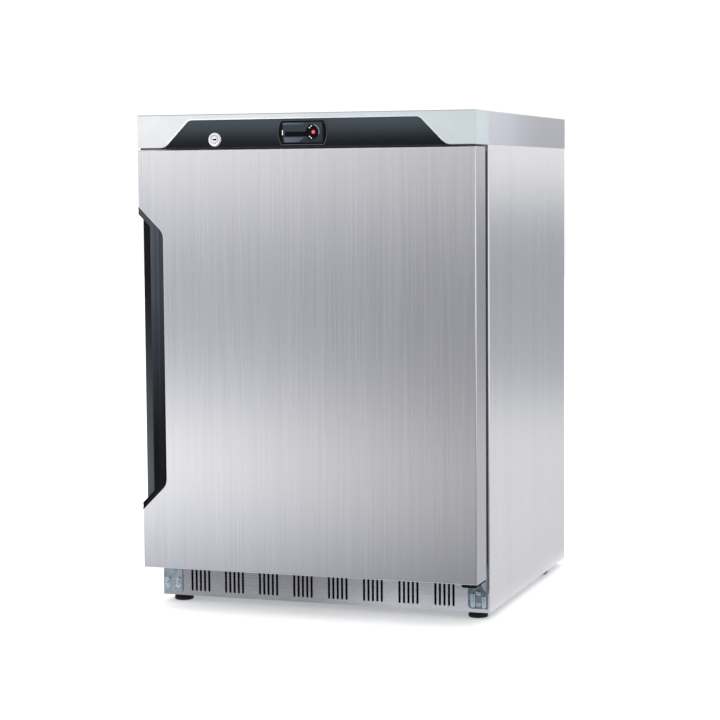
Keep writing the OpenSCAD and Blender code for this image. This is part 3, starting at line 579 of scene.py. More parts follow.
# dark grey rubber, darkened further as painted shade for the gaps round the door
GASKET = rubber("gasket_grey", (0.040, 0.040, 0.055), 0.6)
RUBBER = rubber("rubber_black", (0.006, 0.006, 0.007), 0.62, 0.2)
FILTER = rubber("dust_filter", (0.002, 0.002, 0.003), 0.9, 0.05)
ARM = moulded("hinge_arm_black", (0.004, 0.004, 0.008), 0.5, specular_ior_level=0.12)

BY_SLOT = {
    "brushed_steel": STEEL_UP,
    "galvanised": ZINC,
    "frame_paint": coated("frame_white", (0.80, 0.82, 0.83)),
    "liner_abs": moulded("liner_white", (0.74, 0.76, 0.775), 0.38, 500, 0.0001),
    "pu_foam": foam("insulation", (0.85, 0.76, 0.48)),
    "core_board": board("core_board", (0.62, 0.48, 0.31)),
    "light_plastic": PALE_MOULDING_SHADED,
    "black_plastic": BLACK,
    "fascia_black": FASCIA,
    "controller_trim": TRIM,
    "dark_lens": LENS,
    "key_plastic": WHITE_MARK,
    "board_green": moulded("board_green", (0.03, 0.16, 0.07), 0.4),
    "lock_metal": CHROME,
    "zinc": BRIGHT,
    "black_enamel": coated("black_enamel", (0.012, 0.012, 0.014), 0.3),
    "rubber_black": RUBBER,
    "gasket_rubber": GASKET,
    "copper_tube": metal("copper", (0.80, 0.42, 0.26), 0.3, 60),
    "fin_aluminium": metal("fin_aluminium", (0.80, 0.81, 0.83), 0.35, 80),
    "fan_plastic": moulded("fan_plastic", (0.035, 0.038, 0.042), 0.45),
    "shelf_wire": coated("shelf_white", (0.78, 0.80, 0.82), 0.3),
    "roller_plastic": moulded("roller_plastic", (0.050, 0.085, 0.125), 0.4),
    "bush_nylon": moulded("nylon", (0.035, 0.035, 0.04), 0.5),
}


# ---- door
def door_sheet():
    """Folded steel door front with its edges rolled, notched for the handle recess."""
    lo, hi, rear_y, t = SKIN_LO, SKIN_HI, GRIP_HI.y, 1.0
    outline = rectangle(lo.xz, hi.xz) + grip_path(0, 0, GRIP_R)[::-1]
    trough = [(lo.x, hi.z - t), (lo.x, lo.z), (hi.x, lo.z), (hi.x, hi.z - t),
              (hi.x - t, hi.z - t), (hi.x - t, lo.z + t), (lo.x + t, lo.z + t), (lo.x + t, hi.z - t)]
    bm = bmesh.new()
    add_loft(bm, outline, tray_rings(FRONT, rear_y, 2.4, t))
    add_loft(bm, trough, [(0, rear_y), (0, hi.y)])
    add_slotted_wall(bm, (lo.x, rear_y, hi.z - t), (hi.x, hi.y, hi.z), -3)
    door = piece("door_sheet", bm, STEEL_UP, "door", ["door_skin"])
    # painted shade on the door's sides
    paint_faces(door, STEEL_DOOR_SIDE_SHADED, is_side)


def handle_lip():
    """Black lip along the notch: narrow on the slants, a dished band on the upright side."""
    past_edge = 0.5
    outer = grip_path(-past_edge, -past_edge, GRIP_R)
    inner = grip_path(GRIP_LIP, GRIP_SIDE_LIP, 5)
    profile = [(0, LIP_T), (0, 0.5), (0.02, 0.12), (0.05, 0), (0.16, 0.1), (0.28, 0.7), (0.42, 1.25),
               (0.56, 1.4), (0.70, 1.2), (0.82, 0.6), (0.90, 0.3), (0.96, 0.45), (0.99, 0.9), (1, 1.6),
               (1, LIP_T - 0.4), (0.985, LIP_T)]
    bm = bmesh.new()
    add_ribbon(bm, outer, inner, profile, FRONT)
    # painted sheen on the black lip
    piece("handle_lip", bm, LIP, "door", ["handle_moulding"])


def handle_pocket():
    """Pocket behind the lip: rear wall, slanted ends and the finger space behind the front sheet."""
    t, corner, rear_y = 2, 36.5, GRIP_HI.y
    outer = grip_path(0.15, 0.15, GRIP_R)
    wall = grip_path(t, t, GRIP_R - t)
    bm = bmesh.new()
    add_loft(bm, wall + outer[::-1], [(0, FRONT + LIP_T), (0, rear_y - t)])
    add_loft(bm, outer, slab_rings(rear_y - t, rear_y, 0.4, 2))
    x0, y0, z0 = -HALF_W + GRIP_W - t, FRONT + 1.2, GRIP_LO.z + corner
    x1, y1, z1 = GRIP_HI.x, rear_y, GRIP_HI.z - corner
    add_block(bm, (x1 - t, y0, z0), (x1, y1, z1), 0.4)
    add_block(bm, (x0, y1 - t, z0), (x1, y1, z1), 0.4)
    add_block(bm, (x0, y0, z0), (x1, y0 + 2.6, z1), 0.4)
    for z in (z0, z1 - t):
        add_block(bm, (x0, y0, z), (x1, y1, z + t), 0.4)
    # painted sheen on the pocket walls
    piece("handle_pocket", bm, POCKET, "door")


def gasket_bellows():
    """Magnetic gasket: foot, folded bellows and magnet bar, mitred at the corners, and a flap: its outer lip,
    widened into a dark sheet as painted shade in the gap beside the door.
    """
    lo, hi, w, flap_w = GASKET_LO, GASKET_HI, 20, 21
    outline = rectangle(lo.xz, hi.xz)
    half = [(0.4, 0), (0, 1), (0, 3.4), (1, 4.6), (5.5, 5.2), (6.6, 7), (4.2, 8.6), (4.2, 9.6), (6.6, 11.2),
            (4.4, 12.8), (1.8, 13.6), (1.2, 15)]
    bar_y = hi.y - lo.y
    outside = half + [(1.2, bar_y - 1.2), (2.2, bar_y)]
    section = outside + [(w - d, y) for d, y in reversed(outside)]
    bm = bmesh.new()
    add_loft(bm, outline, [(d, lo.y + y) for d, y in section], closed=True)
    # painted shade: the flap's dark sheet fills the gap beside the door
    flap = [(u + math.copysign(flap_w, u), v + (14 if v > hi.z / 2 else -14)) for u, v in outline]
    rings = [(0.3, 0.2), (0, 0.5), (0.5, 1.1), (20.4, 1.3), (20.6, 0.2)]
    add_loft(bm, flap, [(d, lo.y + y) for d, y in rings], closed=True)
    piece("gasket_bellows", bm, GASKET, "door", ["door_gasket"])


def door_liner():
    """Vacuum-formed inner panel of the door with a soft raised border."""
    lo, hi = span("door_inner_panel")
    cold_x, cold_z0, cold_z1 = 232, 138, 732
    plate_y, top = lo.y + 2, hi.y
    bm = bmesh.new()
    add_loft(bm, rectangle(lo.xz, hi.xz), slab_rings(lo.y, plate_y, 0.3, 1))
    half = [(-0.5, plate_y - 0.5), (0.4, plate_y + 1.6), (1.6, top - 5), (3.4, top - 2), (6.2, top)]
    border = half + [(20 - d, y) for d, y in reversed(half)]
    add_loft(bm, rounded(-cold_x, cold_x, cold_z0, cold_z1, 20, 8), border, closed=True)
    piece("door_liner", bm, BY_SLOT["liner_abs"], "door", ["door_inner_panel"])


# ---- control moulding
def fascia_side(d):
    """Right half of the fascia outline, from its foot to the top, moved inwards by d."""
    top_x, slope, r = 204.0, 46.0, 13.0
    z0, z1 = MOULD_LO.z, FASCIA_HI.z + 1.5
    a = math.degrees(math.atan2(slope, z1 - z0))
    t = r * math.tan(math.radians((90 - a) / 2))
    foot_x = top_x + slope
    foot = [(foot_x + 6.5, z0), (foot_x + 1.5, z0 + 0.8), (foot_x - 2.6, z0 + 2.6), (foot_x - 6.4, z0 + 5.9)]
    moved = [(x - d, z - (d / 2 if z > z0 else 0)) for x, z in foot]
    return moved + arc(top_x - d - t, z1 - d - r, r, a, 90, 10)


def fascia_path(d):
    """Whole fascia edge from its right foot over the top to its left foot."""
    right = fascia_side(d)
    return right + [(-x, z) for x, z in reversed(right)]


def control_moulding():
    """Light moulding: a front with a bevelled rim round the fascia, and the box behind it."""
    x0, x1, z0, z1 = MOULD_LO.x, MOULD_HI.x, MOULD_LO.z, MOULD_HI.z
    y0, y1, t = MOULD_LO.y, MOULD_HI.y, 2.5
    split = y0 + 5
    front = [(x0, z0)] + fascia_path(0)[::-1] + [(x1, z0), (x1, z1), (x0, z1)]
    rings = [(2.6, y0), (1.5, y0 + 0.25), (0.7, y0 + 0.75), (0.2, y0 + 1.5), (0, y0 + 2.6), (0, split)]
    cover = [(x1, z0), (x1, z1), (x0, z1), (x0, z0)]
    cover += [(x0 + t, z0), (x0 + t, z1 - t), (x1 - t, z1 - t), (x1 - t, z0)]
    bm = bmesh.new()
    add_loft(bm, front, rings)
    add_loft(bm, cover, [(0, split), (0, y1)])
    add_slotted_wall(bm, (x0 + t, split, z0), (x1 - t, y1, z0 + t), 1)
    # painted shade: the moulding's tone darkens towards the right
    shell = piece("control_moulding_shell", bm, PALE_MOULDING_SHADED, "cabinet", ["control_moulding"])

    def is_top_edge(polygon):
        """Whether a face lies on the round edge along the top of the front."""
        near = polygon.center.z > (z1 - 1.6) * MM and polygon.center.y < (y0 + 2.1) * MM
        return near and polygon.normal.z > 0.2 and abs(polygon.normal.x) < 0.2

    # painted shade along the round top edge
    paint_faces(shell, MOULD_EDGE_SHADE, is_top_edge)


def fascia_rim_highlight():
    """Rolled edge of the moulding along the fascia's top and slopes, coloured near-white as a painted
    highlight that fades to the right.
    """
    foot_z, rim_w = MOULD_LO.z + 5, 2.2
    inner = [p for p in fascia_path(0) if p[1] > foot_z]
    outer = [p for p in fascia_path(-rim_w) if p[1] > foot_z]
    profile = [(0, 1.4), (0, 0.5), (0.14, 0.12), (0.4, 0), (0.7, 0.06), (0.9, 0.3), (1, 0.8), (1, 1.4)]
    bm = bmesh.new()
    add_ribbon(bm, inner, outer, profile, MOULD_LO.y)
    piece("fascia_rim_highlight", bm, RIM, "cabinet")


def fascia_panel():
    """Black panel set into the moulding."""
    bm = bmesh.new()
    add_loft(bm, fascia_path(0.3), slab_rings(FASCIA_LO.y, FASCIA_HI.y, 0.7, 3))
    # painted reflection on the fascia
    piece("fascia_panel", bm, FASCIA, "cabinet", ["control_fascia"])


# ---- controller and lock
def key_tops():
    """Middle and radius of each key's visible top. The lamp sits beside its key's middle."""
    tops = {}
    for key, aside, r in (("key_select", 1.2, 3.25), ("key_up", 0, 3.5), ("key_down", 0, 3.5)):
        middle = sum(span(key), Vector()) / 2
        tops[key] = (middle.x + aside, middle.z, r)
    return tops


def key_holes():
    """Round holes for the keys in the face and in the dial."""
    return [arc(x, z, r + 0.3, 0, 360, 32)[:-1] for x, z, r in key_tops().values()]


def dial_outline():
    """Circle round the keys that bulges round those near its edge."""
    outline, points, margin = [], 96, 0.9
    for i in range(points):
        a = 2 * math.pi * i / points
        ahead = Vector((math.cos(a), math.sin(a)))
        reach = DIAL_R
        for x, z, key_r in key_tops().values():
            to_key = Vector((x - DIAL_X, z - CTRL_Z))
            along, across = to_key.dot(ahead), to_key.x * ahead.y - to_key.y * ahead.x
            if along > 0 and abs(across) < key_r + margin:
                reach = max(reach, along + math.sqrt((key_r + margin) ** 2 - across ** 2))
        outline.append((DIAL_X + reach * ahead.x, CTRL_Z + reach * ahead.y))
    return outline


def on_controller(points):
    """Points given from the controller's middle."""
    return [(CTRL_X + u, CTRL_Z + v) for u, v in points]


def controller_rim():
    """Rim of the controller and the dark bezel inside it."""
    y0, y1 = CTRL_LO.y, CTRL_HI.y
    outline = barrel(CTRL_X, CTRL_Z, CTRL_HI.x - CTRL_LO.x, CTRL_HI.z - CTRL_LO.z, CTRL_BULGE, 12)
    rings = [(0.4, y0), (0.1, y0 + 0.4), (0, y1), (1.5, y1), (1.5, y0 + 0.5), (1.3, y0 + 0.1), (0.9, y0)]
    bm = bmesh.new()
    add_loft(bm, outline, rings, closed=True)
    piece("controller_rim", bm, TRIM, "cabinet", ["controller_frame"])

    bezel = [(1.55, y0 + 0.5), (1.55, y1), (3.95, y1), (3.95, y0 + 0.45), (2.8, y0 + 0.35)]
    bm = bmesh.new()
    add_loft(bm, outline, bezel, closed=True)
    piece("controller_bezel", bm, DISPLAY, "cabinet")


def controller_face():
    """Face of the controller with holes for its keys."""
    outline = barrel(CTRL_X, CTRL_Z, LENS_HI.x - LENS_LO.x, LENS_HI.z - LENS_LO.z, CTRL_BULGE - 1, 12)
    bm = bmesh.new()
    add_plate(bm, [outline] + key_holes(), LENS_LO.y, LENS_HI.y, 0.2)
    piece("controller_face", bm, LENS, "cabinet", ["controller_lens"])


def controller_display():
    """Dark display strip, the dial round the keys, a dark band at each end and two lighter panes."""
    base_y = LENS_LO.y + 0.3
    strip = rounded(CTRL_X - 31, CTRL_X + 10, CTRL_Z - 6.6, CTRL_Z + 1.4, 1.2, 3)
    bm = bmesh.new()
    add_loft(bm, strip, [(0.2, MARKS_Y), (0, MARKS_Y + 0.1), (0, base_y)])
    add_plate(bm, [dial_outline()] + key_holes(), LENS_LO.y - 0.15, base_y, 0.05)
    band = [(36, 14), (40.2, 13), (41.4, 0), (40.2, -13), (36, -14), (37.2, 0)]
    for outline in ([(-u, v) for u, v in band], band[::-1]):
        add_loft(bm, on_controller(outline), [(0.1, MARKS_Y), (0, base_y)])
    piece("controller_display", bm, DISPLAY, "cabinet")

    lower = [(-31.5, -16.2), (-7, -16.2), (4, -8), (-33, -8)]
    upper = [(-35, 13), (2, 13), (2, 15.8), (-34, 15.8)]
    bm = bmesh.new()
    for outline in (lower, upper):
        add_loft(bm, on_controller(outline), [(0.3, MARKS_Y + 0.02), (0, MARKS_Y + 0.12), (0, base_y)])
    piece("controller_pane", bm, PANE, "cabinet")


def controller_marks():
    """Tick at the left end of the display and arc beside the keys."""
    front, rear = MARKS_Y - 0.06, MARKS_Y + 0.2
    bm = bmesh.new()
    add_block(bm, (CTRL_X - 36.2, front, CTRL_Z - 4), (CTRL_X - 34.6, rear, CTRL_Z + 4), 0.08, 1)
    piece("controller_mark", bm, WHITE_MARK, "cabinet")

    outside = arc(DIAL_X, CTRL_Z + 0.5, 12.8, -18, 72, 18)
    inside = arc(DIAL_X, CTRL_Z + 0.5, 11.9, -18, 72, 18)
    bm = bmesh.new()
    add_loft(bm, outside + inside[::-1], [(0.05, front), (0, rear)])
    piece("controller_arc", bm, GREY_MARK, "cabinet")


def lamp_key(key, x, z, r):
    """Key with a domed red lamp and the glint on it."""
    lo, hi = span(key)
    dome = [(0, 0), (r * 0.5, 0.05), (r * 0.85, 0.18), (r, 0.5), (r, hi.y - lo.y), (0, hi.y - lo.y)]
    bm = bmesh.new()
    add_turned(bm, (x, lo.y, z), dome, (0, 1, 0), 32)
    piece(key + "_lamp", bm, RED_LAMP, key, [key])

    bm = bmesh.new()
    add_turned(bm, (x + 0.3, lo.y - 0.02, z - 0.4), [(0, 0), (0.8, 0.02), (1.1, 0.1)], (0, 1, 0), 16)
    piece(key + "_glint", bm, LAMP_GLINT, key)


def dotted_key(key, x, z, r):
    """Key with a dark cap and two white dots that slant away from the lamp."""
    lo, hi = span(key)
    depth, stem_r, cap_t = hi.y - lo.y, 2.6, 0.85
    cap = [(0, 0.05), (r - 0.4, 0.05), (r, 0.35), (r, cap_t), (stem_r, cap_t), (stem_r, depth), (0, depth)]
    bm = bmesh.new()
    add_turned(bm, (x, lo.y, z), cap, (0, 1, 0), 32)
    piece(key + "_cap", bm, DISPLAY, key, [key])

    flip = 1 if z > CTRL_Z else -1
    bm = bmesh.new()
    for dx, dz in ((-1.2, -1.5), (1.7, 1.2)):
        add_turned(bm, (x + dx, lo.y, z + dz * flip), [(0, 0), (0.95, 0), (1.1, 0.06)], (0, 1, 0), 16)
    piece(key + "_dots", bm, WHITE_MARK, key)


def lock_escutcheon():
    """Polished ring round the lock."""
    lo, hi = span("lock_housing")
    r, depth = (hi.x - lo.x) / 2, hi.y - lo.y
    ring = [(6.1, depth), (6.1, 1.2), (6.5, 0.75), (7.6, 0.7), (8.0, 0.2), (9.2, 0.0), (10.6, 0.25), (r, 0.9),
            (r, 1.6), (8, 1.6), (8, depth), (6.1, depth)]
    bm = bmesh.new()
    add_turned(bm, ((lo.x + hi.x) / 2, lo.y, (lo.z + hi.z) / 2), ring, (0, 1, 0), 64)
    piece("lock_escutcheon", bm, CHROME, "cabinet", ["lock_housing"])


def lock_barrel():
    """Lock cylinder with a level keyway in its face."""
    lo, hi = span("lock_cylinder")
    x, z, r = (lo.x + hi.x) / 2, (lo.z + hi.z) / 2, (hi.x - lo.x) / 2
    face_t = 1.2
    depth = hi.y - lo.y - face_t
    disc = arc(x, z, r - 0.2, 0, 360, 48)[:-1]
    keyway = rounded(x - 3.4, x + 3.4, z - 1.5, z + 1.5, 1.2, 4)
    bm = bmesh.new()
    add_plate(bm, [disc, keyway], lo.y, lo.y + face_t, 0.25)
    add_turned(bm, (x, lo.y + face_t, z), [(0, 0), (r - 0.3, 0), (r - 0.3, depth), (0, depth)], (0, 1, 0))
    piece("lock_barrel", bm, CHROME, "lock", ["lock_cylinder"])

    bm = bmesh.new()
    add_loft(bm, inset(keyway, -0.6), [(0.2, lo.y + 0.35), (0, lo.y + 0.5), (0, lo.y + 1.1)])
    piece("lock_keyway", bm, BLACK, "lock")


def gap_shadow_strip():
    """Painted shadow: a black strip under the control moulding that darkens the gap over the door."""
    outline = rounded(MOULD_LO.x + 1.5, MOULD_HI.x - 1.5, FRONT + 9, FRONT + 12, 1.2, 3)
    bm = bmesh.new()
    add_loft(bm, outline, [(0.5, MOULD_LO.z - 2.7), (0, MOULD_LO.z - 2.2), (0, MOULD_LO.z + 0.5)], in_xy)
    piece("gap_shadow_strip", bm, GASKET, "cabinet")


# ---- cabinet
def worktop_sheet():
    """Folded steel top with rolled edges."""
    outline = rectangle(TOP_LO.xy, TOP_HI.xy)
    bm = bmesh.new()
    add_loft(bm, outline, tray_rings(TOP_HI.z, TOP_LO.z, 2.0, 1.0), in_xy)
    sheet = piece("worktop_sheet", bm, STEEL_ACROSS, "cabinet", ["worktop"])
    # painted shade on the worktop's sides
    paint_faces(sheet, STEEL_WORKTOP_SIDE_SHADED, is_side)


def side_sheet(node, side):
    """Side panel: a sheet folded round its front and back edges, with a return above the kick grille."""
    lo, hi = span(node)
    x, r, t, back_w = HALF_W, 2.2, 1, 15
    inner_x = min(abs(lo.x), abs(hi.x))
    outer = arc(x - r, lo.y + r, r, -90, 0, 5) + arc(x - r, hi.y - r, r, 0, 90, 5) + [(x - back_w, hi.y)]
    inner = arc(x - r, hi.y - r, r - t, 90, 0, 3) + arc(x - r, lo.y + r, r - t, 0, -90, 3)
    section = [(side * u, v) for u, v in outer + [(x - back_w, hi.y - t)] + inner]
    if side < 0:
        section.reverse()
    bm = bmesh.new()
    add_loft(bm, section, [(0, lo.z), (0, hi.z)], in_xy)
    left, right = sorted((side * inner_x, side * (x - r)))
    add_block(bm, (left, lo.y, KICK_HI.z + 0.3), (right, lo.y + t, hi.z), 0.3, 2)
    piece(node + "_sheet", bm, STEEL_SIDE, "cabinet", [node])


def kick_panel():
    """Kick grille: slotted sheet with rolled slot edges and folded flanges."""
    x0, x1, z0, z1 = KICK_LO.x, KICK_HI.x, KICK_LO.z, KICK_HI.z
    groups, slots, group_pitch, pitch, slot_w, slot_h = 8, 5, 64, 8, 3.9, 41.5
    middle_x, middle_z, t = -4, 41.5, 1.2
    loops = [rounded(x0, x1, z0, z1, 0.8, 2)]
    for g in range(groups):
        for i in range(slots):
            x = middle_x + (g - (groups - 1) / 2) * group_pitch + (i - (slots - 1) / 2) * pitch
            loops.append(stadium(x, middle_z, slot_w, slot_h, 6))
    bm = bmesh.new()
    add_plate(bm, loops, CAB_Y, CAB_Y + t, 0.25)
    add_block(bm, (x0, CAB_Y + t, z1 - 1), (x1, KICK_HI.y, z1), 0.2)
    add_block(bm, (x0, CAB_Y + t, z0), (x1, CAB_Y + 2.8, z0 + 1), 0.2)
    piece("kick_panel", bm, STEEL_KICK, "cabinet", ["kick_grille"])


def add_emboss(bm, x, z, w, h, y):
    """Pressed oval bump on a plate whose front is at y."""
    height = 1.8
    rings = [(2.6, 1), (1.6, 0.94), (0.8, 0.72), (0.25, 0.38)]
    add_loft(bm, stadium(x, z, w, h, 8), [(d, y - height * share) for d, share in rings] + [(0, y + 0.2)])


def add_screw(bm, x, z, y, turned=1):
    """Pan-head screw, its head standing forward from y, or backward when turned is -1."""
    r, h = 4.5, 1.8
    head = [(0, 0.55 - h), (0.8, 0.5 - h), (1.0, 0.05 - h), (r * 0.5, -h), (r * 0.78, -h * 0.8),
            (r * 0.95, -h * 0.45), (r, 0), (0, 0)]
    add_turned(bm, (x, y, z), head, (0, turned, 0), 24)


def lower_hinge():
    """Galvanised bracket of the lower hinge, and its black arm with an upturned lip."""
    y = CAB_Y - 3
    bm = bmesh.new()
    plate = arc(269, 26, 7, 180, 270, 5)
    plate += [(296, 19), (296, 96), (291, 96), (287, 91), (286, 84), (286, 69), (262, 69)]
    add_plate(bm, [plate], y, CAB_Y, 0.4)
    web = [(y + 1, 44), (y + 1, 96), (y - 9, 84), (y - 10, 69), (-273, 69), (-273, 66)]
    add_plate(bm, [web[::-1]], 293, 296, 0.4, in_yz)
    piece("lower_hinge_plate", bm, HINGE_ZINC_SHADED, "cabinet", ["lower_hinge_bracket"])

    x0, r, lip_t = span("lower_hinge_bracket")[0].x + 4, 9, 1.6
    left_end = [(x0, y + 0.5)] + arc(x0 + r, ARM_Y, r, 180, 270, 6)
    arm = left_end + arc(285, ARM_Y, r, 270, 360, 6) + [(294, y + 0.5)]
    lip = left_end + [(284, ARM_Y - r), (284, ARM_Y - r + lip_t)]
    lip += arc(x0 + r, ARM_Y, r - lip_t, 270, 180, 6) + [(x0 + lip_t, y + 0.5)]
    bm = bmesh.new()
    add_plate(bm, [arm], 66, 69, 0.4, in_xy)
    add_loft(bm, lip, [(0, 68.6), (0, 71.4), (0.4, 71.8)], in_xy)
    piece("lower_hinge_arm", bm, ARM, "cabinet")


def spare_plate():
    """Plate over the unused hinge side."""
    bm = bmesh.new()
    add_plate(bm, [rounded(-298, -262, 18, 72.5, 3, 4)], CAB_Y - 2, CAB_Y, 0.35)
    piece("spare_plate", bm, ZINC, "cabinet", ["spare_hinge_plate"])


def hinge_bosses():
    """Bumps pressed into the hinge plate and into the spare plate."""
    bm = bmesh.new()
    for x, z, w, h in ((270.6, 33.5, 9, 26), (290, 31, 8, 22), (290, 60, 8, 17)):
        add_emboss(bm, x, z, w, h, CAB_Y - 3)
    for x in (-290, -270):
        add_emboss(bm, x, 34, 11, 21, CAB_Y - 2)
    piece("hinge_plate_bosses", bm, BOSS, "cabinet")


def screw_heads():
    """Screws of the hinge plates in front and of the back panel."""
    bm = bmesh.new()
    for x in (-290, -270):
        add_screw(bm, x, 34, CAB_Y - 3.8)
        add_screw(bm, x, 64, CAB_Y - 2)
    for z in (46, 27):
        add_screw(bm, 280.4, z, CAB_Y - 3)
    for x in (262, 286):
        add_screw(bm, x, 825, CAB_Y - 4)
    back_y = span("case_screws")[1].y - 1.8
    for x in (-262, 262):
        for z in (34, 246):
            add_screw(bm, x, z, back_y, turned=-1)
    piece("case_screw_heads", bm, SCREW, "cabinet", ["case_screws"])


def dust_filter():
    """Black fleece behind the kick grille's slots."""
    half_w, y0, y1 = 256, CAB_Y + 2.2, CAB_Y + 6
    bm = bmesh.new()
    add_loft(bm, rounded(-half_w, half_w, 16, 71, 3, 4), slab_rings(y0, y1, 1.2, 3))
    piece("dust_filter_fleece", bm, FILTER, "cabinet")


def foot(side):
    """Levelling foot: a rubber sole on a threaded stud."""
    node = "front_foot_" + side
    lo, hi = span(node)
    r, stud_r, thread_r = (hi.x - lo.x) / 2, 5, 4.4
    profile = [(0, 0), (r - 2.4, 0), (r - 0.9, 0.5), (r - 0.1, 1.8), (r, 3.2), (r - 0.3, 5), (r - 1.6, 8.2),
               (r - 3.4, 9.8), (r - 6, 10), (8.6, 10.2), (8.6, 12.6), (stud_r, 13)]
    for z in range(14, 44, 2):
        profile += [(stud_r, z), (thread_r, z + 1)]
    bm = bmesh.new()
    add_turned(bm, ((lo.x + hi.x) / 2, (lo.y + hi.y) / 2, 0), profile + [(4, hi.z), (0, hi.z)], (0, 0, 1))
    piece("foot_" + side, bm, RUBBER, node, [node])


def roller(side):
    """Rear transport roller with its rounded tread and sunk faces."""
    node = "rear_roller_" + side
    lo, hi = span(node)
    r, w, bore_r = (hi.z - lo.z) / 2, hi.x - lo.x, 4.1
    half = [(bore_r, 0), (9, 0), (9.4, 1.4), (r - 6, 1.4), (r - 5.4, 0.3), (r - 2.4, 0.3), (r - 0.6, 1.6),
            (r, 4)]
    tread = half + [(radius, w - h) for radius, h in reversed(half)] + [(bore_r, 0)]
    bm = bmesh.new()
    add_turned(bm, (lo.x, (lo.y + hi.y) / 2, (lo.z + hi.z) / 2), tread, (1, 0, 0))
    piece("roller_" + side, bm, BY_SLOT["roller_plastic"], node, [node])


def finish_cad_nodes():
    """Gives every CAD node the material of its slot, apart from two darker pieces of the hinge: the upper
    bracket gets the galvanised sheet darkened as painted shade, and the pins the screw metal.
    """
    slots = {s["node"]: s["material_slot"] for s in frame["record"]["subparts"]}
    darker = {"hinge_pins": SCREW, "upper_hinge_bracket": HINGE_ZINC_SHADED}
    for node, obj in frame["nodes"].items():
        obj.data.materials.clear()
        obj.data.materials.append(darker.get(node, BY_SLOT[slots[node]]))


# ---- camera, light and floor
def camera():
    """Camera at the photograph's angle, fitted to the corners of the cabinet."""
    yaw, pitch, roll = (math.radians(a) for a in (-18.72, -4.84, -0.44))
    ahead = Vector((math.sin(yaw) * math.cos(pitch), math.cos(yaw) * math.cos(pitch), math.sin(pitch)))
    level = Vector((math.cos(yaw), -math.sin(yaw), 0))
    above = level.cross(ahead)
    right = level * math.cos(roll) + above * math.sin(roll)
    up = above * math.cos(roll) - level * math.sin(roll)
    data = bpy.data.cameras.new("camera")
    data.sensor_width = 36
    data.lens = 105.35
    obj = bpy.data.objects.new("camera", data)
    COLLECTION.objects.link(obj)
    turn = Matrix((right, up, -ahead)).transposed().to_4x4()
    obj.matrix_world = Matrix.Translation((1.2204, -3.6234, 0.7396)) @ turn
    bpy.context.scene.camera = obj


def softbox(name, place, target, size, power):
    """Square light that doesn't show in reflections."""
    data = bpy.data.lights.new(name, "AREA")
    data.shape = "RECTANGLE"
    data.size, data.size_y = size, size
    data.energy = power
    obj = bpy.data.objects.new(name, data)
    COLLECTION.objects.link(obj)
    obj.location = place
    obj.rotation_euler = (Vector(target) - Vector(place)).to_track_quat("-Z", "Y").to_euler()
    obj.visible_glossy = False


def studio_sheet(name, corners, material, cuts=0):
    """Flat sheet of the studio, such as the floor or a reflector card."""
    bm = bmesh.new()
    bm.faces.new([bm.verts.new(c) for c in corners])
    if cuts:
        bmesh.ops.subdivide_edges(bm, edges=bm.edges, cuts=cuts, use_grid_fill=True)
    mesh = bpy.data.meshes.new(name)
    bm.to_mesh(mesh)
    bm.free()
    mesh.materials.append(material)
    obj = bpy.data.objects.new(name, mesh)
    COLLECTION.objects.link(obj)
    return obj


def reflector(name, corners, along, stops, gains):
    """Card that only shows in reflections. Its glow follows stops along one direction, and runs from one
    gain to another across it; along and gains are ((x, y, z), start, end) and the same with two gains."""
    f = Finish(name, (0, 0, 0), 0.0, 1.0, specular_ior_level=0.0, emission_strength=2.0)

    def place(direction, start, end, low=0.0, high=1.0):
        dot = f.node("VectorMath", {0: f.coords, 1: direction}, operation="DOT_PRODUCT")
        curve = "SMOOTHSTEP" if low else "LINEAR"
        return f.remap(dot.outputs["Value"], start, end, low, high, interpolation_type=curve)

    colours = []
    for position, value in stops:
        glow, cool = value / 2, min(max((1.2 - value) / 0.8, 0), 1)
        tints = (1 - 0.07 * cool, 1 - 0.03 * cool, 1 + 0.07 * cool)
        colours.append((position, [glow * tint for tint in tints]))
    glow = f.ramp(place(*along), colours)
    f.link(f.mix(1.0, glow, place(*gains), "MULTIPLY"), "Emission Color")
    card = studio_sheet(name, corners, f.mat)
    card.visible_camera = False
    card.visible_diffuse = False
    card.visible_transmission = False
    card.visible_shadow = False


WALL_GLOW = ((0, 0.50), (0.10, 0.43), (0.26, 0.41), (0.32, 0.52), (0.37, 0.84), (0.45, 1.22), (0.70, 1.32),
             (1, 1.25))
FLOOR_GLOW = ((0, 0.50), (0.10, 0.70), (0.24, 1.02), (0.42, 1.36), (0.60, 1.20), (0.75, 0.78), (0.90, 0.54),
              (1, 0.50))
SIDE_WALL_GLOW = tuple((t, v * 0.92 + 0.18) for t, v in WALL_GLOW)
SIDE_FLOOR_GLOW = ((0, 1.0), (0.15, 1.08), (0.45, 1.12), (0.62, 0.95), (0.8, 0.72), (1, 0.62))
EDGE_GLOW = ((0, 2.0), (1, 2.0))


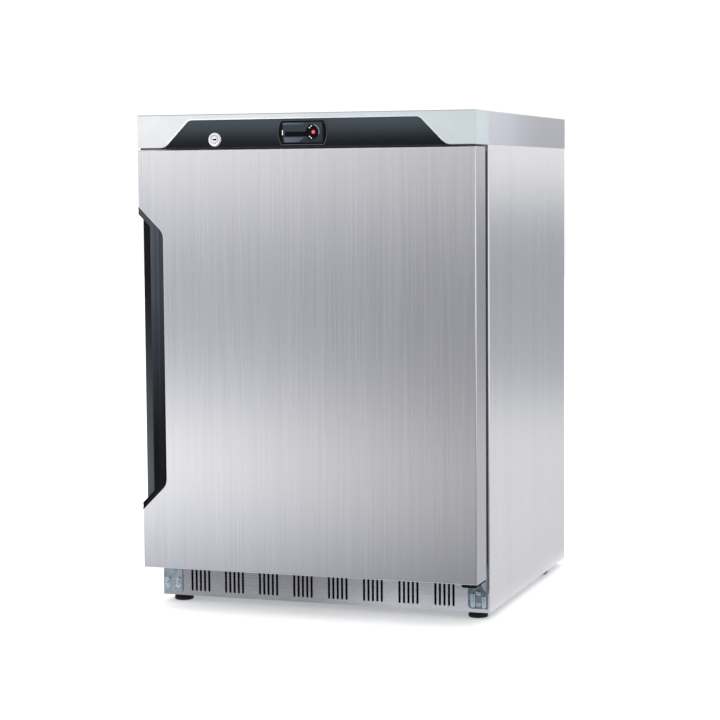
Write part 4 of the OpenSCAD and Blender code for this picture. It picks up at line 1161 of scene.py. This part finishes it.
def surround():
    """Even white surround, two soft lights and a pale floor."""
    world = bpy.data.worlds.new("surround")
    bpy.context.scene.world = world
    world.use_nodes = True
    background = world.node_tree.nodes["Background"]
    background.inputs["Color"].default_value = (1.0, 1.0, 1.0, 1)
    background.inputs["Strength"].default_value = 1.08
    softbox("left_front", (-3.2, -2.6, 2.2), (-0.1, -0.3, 0.5), 1.6, 12)
    softbox("above", (0, -0.4, 3.2), (0, 0, 0.5), 3.0, 12)
    paint = Finish("floor_paint", (0.93, 0.93, 0.935), 0.0, 0.7, emission_color=(1, 1, 1, 1),
                   emission_strength=0.32)
    paint.tint(paint.noise(3), 0.99, 1.0)
    size = 12
    corners = [(-size, -size, 0), (size, -size, 0), (size, size, 0), (-size, size, 0)]
    studio_sheet("floor", corners, paint.mat, 5)


def reflectors():
    """Cards that shade what the brushed steel mirrors in front of the refrigerator and on its right."""
    up, out, back = (0, 0, 1), (0, -1, 0), (0, 1, 0)
    front, rear, top, low = -4.7, 4.9, 2.4, 0.004
    side_gains = ((1, -0.25, 0), 0.18, 0.43, 0.86, 1.0)
    reflector("front_screen", [(-3.8, front, 0), (1.2, front, 0), (1.2, front, top), (-3.8, front, top)],
              (up, 0, 1.8), WALL_GLOW, ((1, 0, 0), -2.9, -0.3, 1.56, 0.60))
    reflector("front_floor", [(-3.8, front, low), (2, front, low), (2, -0.36, low), (-1.0, -0.36, low)],
              (out, 0.315, 4.7), FLOOR_GLOW, ((1, -0.364, 0), -0.75, 0.85, 1.64, 0.46))
    reflector("side_screen", [(0.35, rear, 0), (5, rear, 0), (5, rear, top), (0.35, rear, top)],
              (up, 0, 1.8), SIDE_WALL_GLOW, side_gains)
    reflector("side_floor", [(0.33, -0.3, low), (4, -0.3, low), (4, rear, low), (0.33, rear, low)],
              (back, 0.0, rear), SIDE_FLOOR_GLOW, side_gains)
    reflector("edge_glow", [(3.2, -3.2, 0), (3.2, -1.2, 0), (3.2, -1.2, 2.6), (3.2, -3.2, 2.6)],
              (up, 0, 2.6), EDGE_GLOW, (back, -3.2, -1.2, 1.0, 0.95))


camera()
surround()
reflectors()
bpy.context.scene.view_settings.view_transform = "Standard"
finish_cad_nodes()
door_sheet()
handle_lip()
handle_pocket()
gasket_bellows()
door_liner()
control_moulding()
fascia_rim_highlight()
fascia_panel()
controller_rim()
controller_face()
controller_display()
controller_marks()
for key, top in key_tops().items():
    make_key = lamp_key if key == "key_select" else dotted_key
    make_key(key, *top)
lock_escutcheon()
lock_barrel()
gap_shadow_strip()
worktop_sheet()
side_sheet("side_panel_left", -1)
side_sheet("side_panel_right", 1)
kick_panel()
lower_hinge()
spare_plate()
hinge_bosses()
screw_heads()
dust_filter()
for side in ("left", "right"):
    foot(side)
    roller(side)
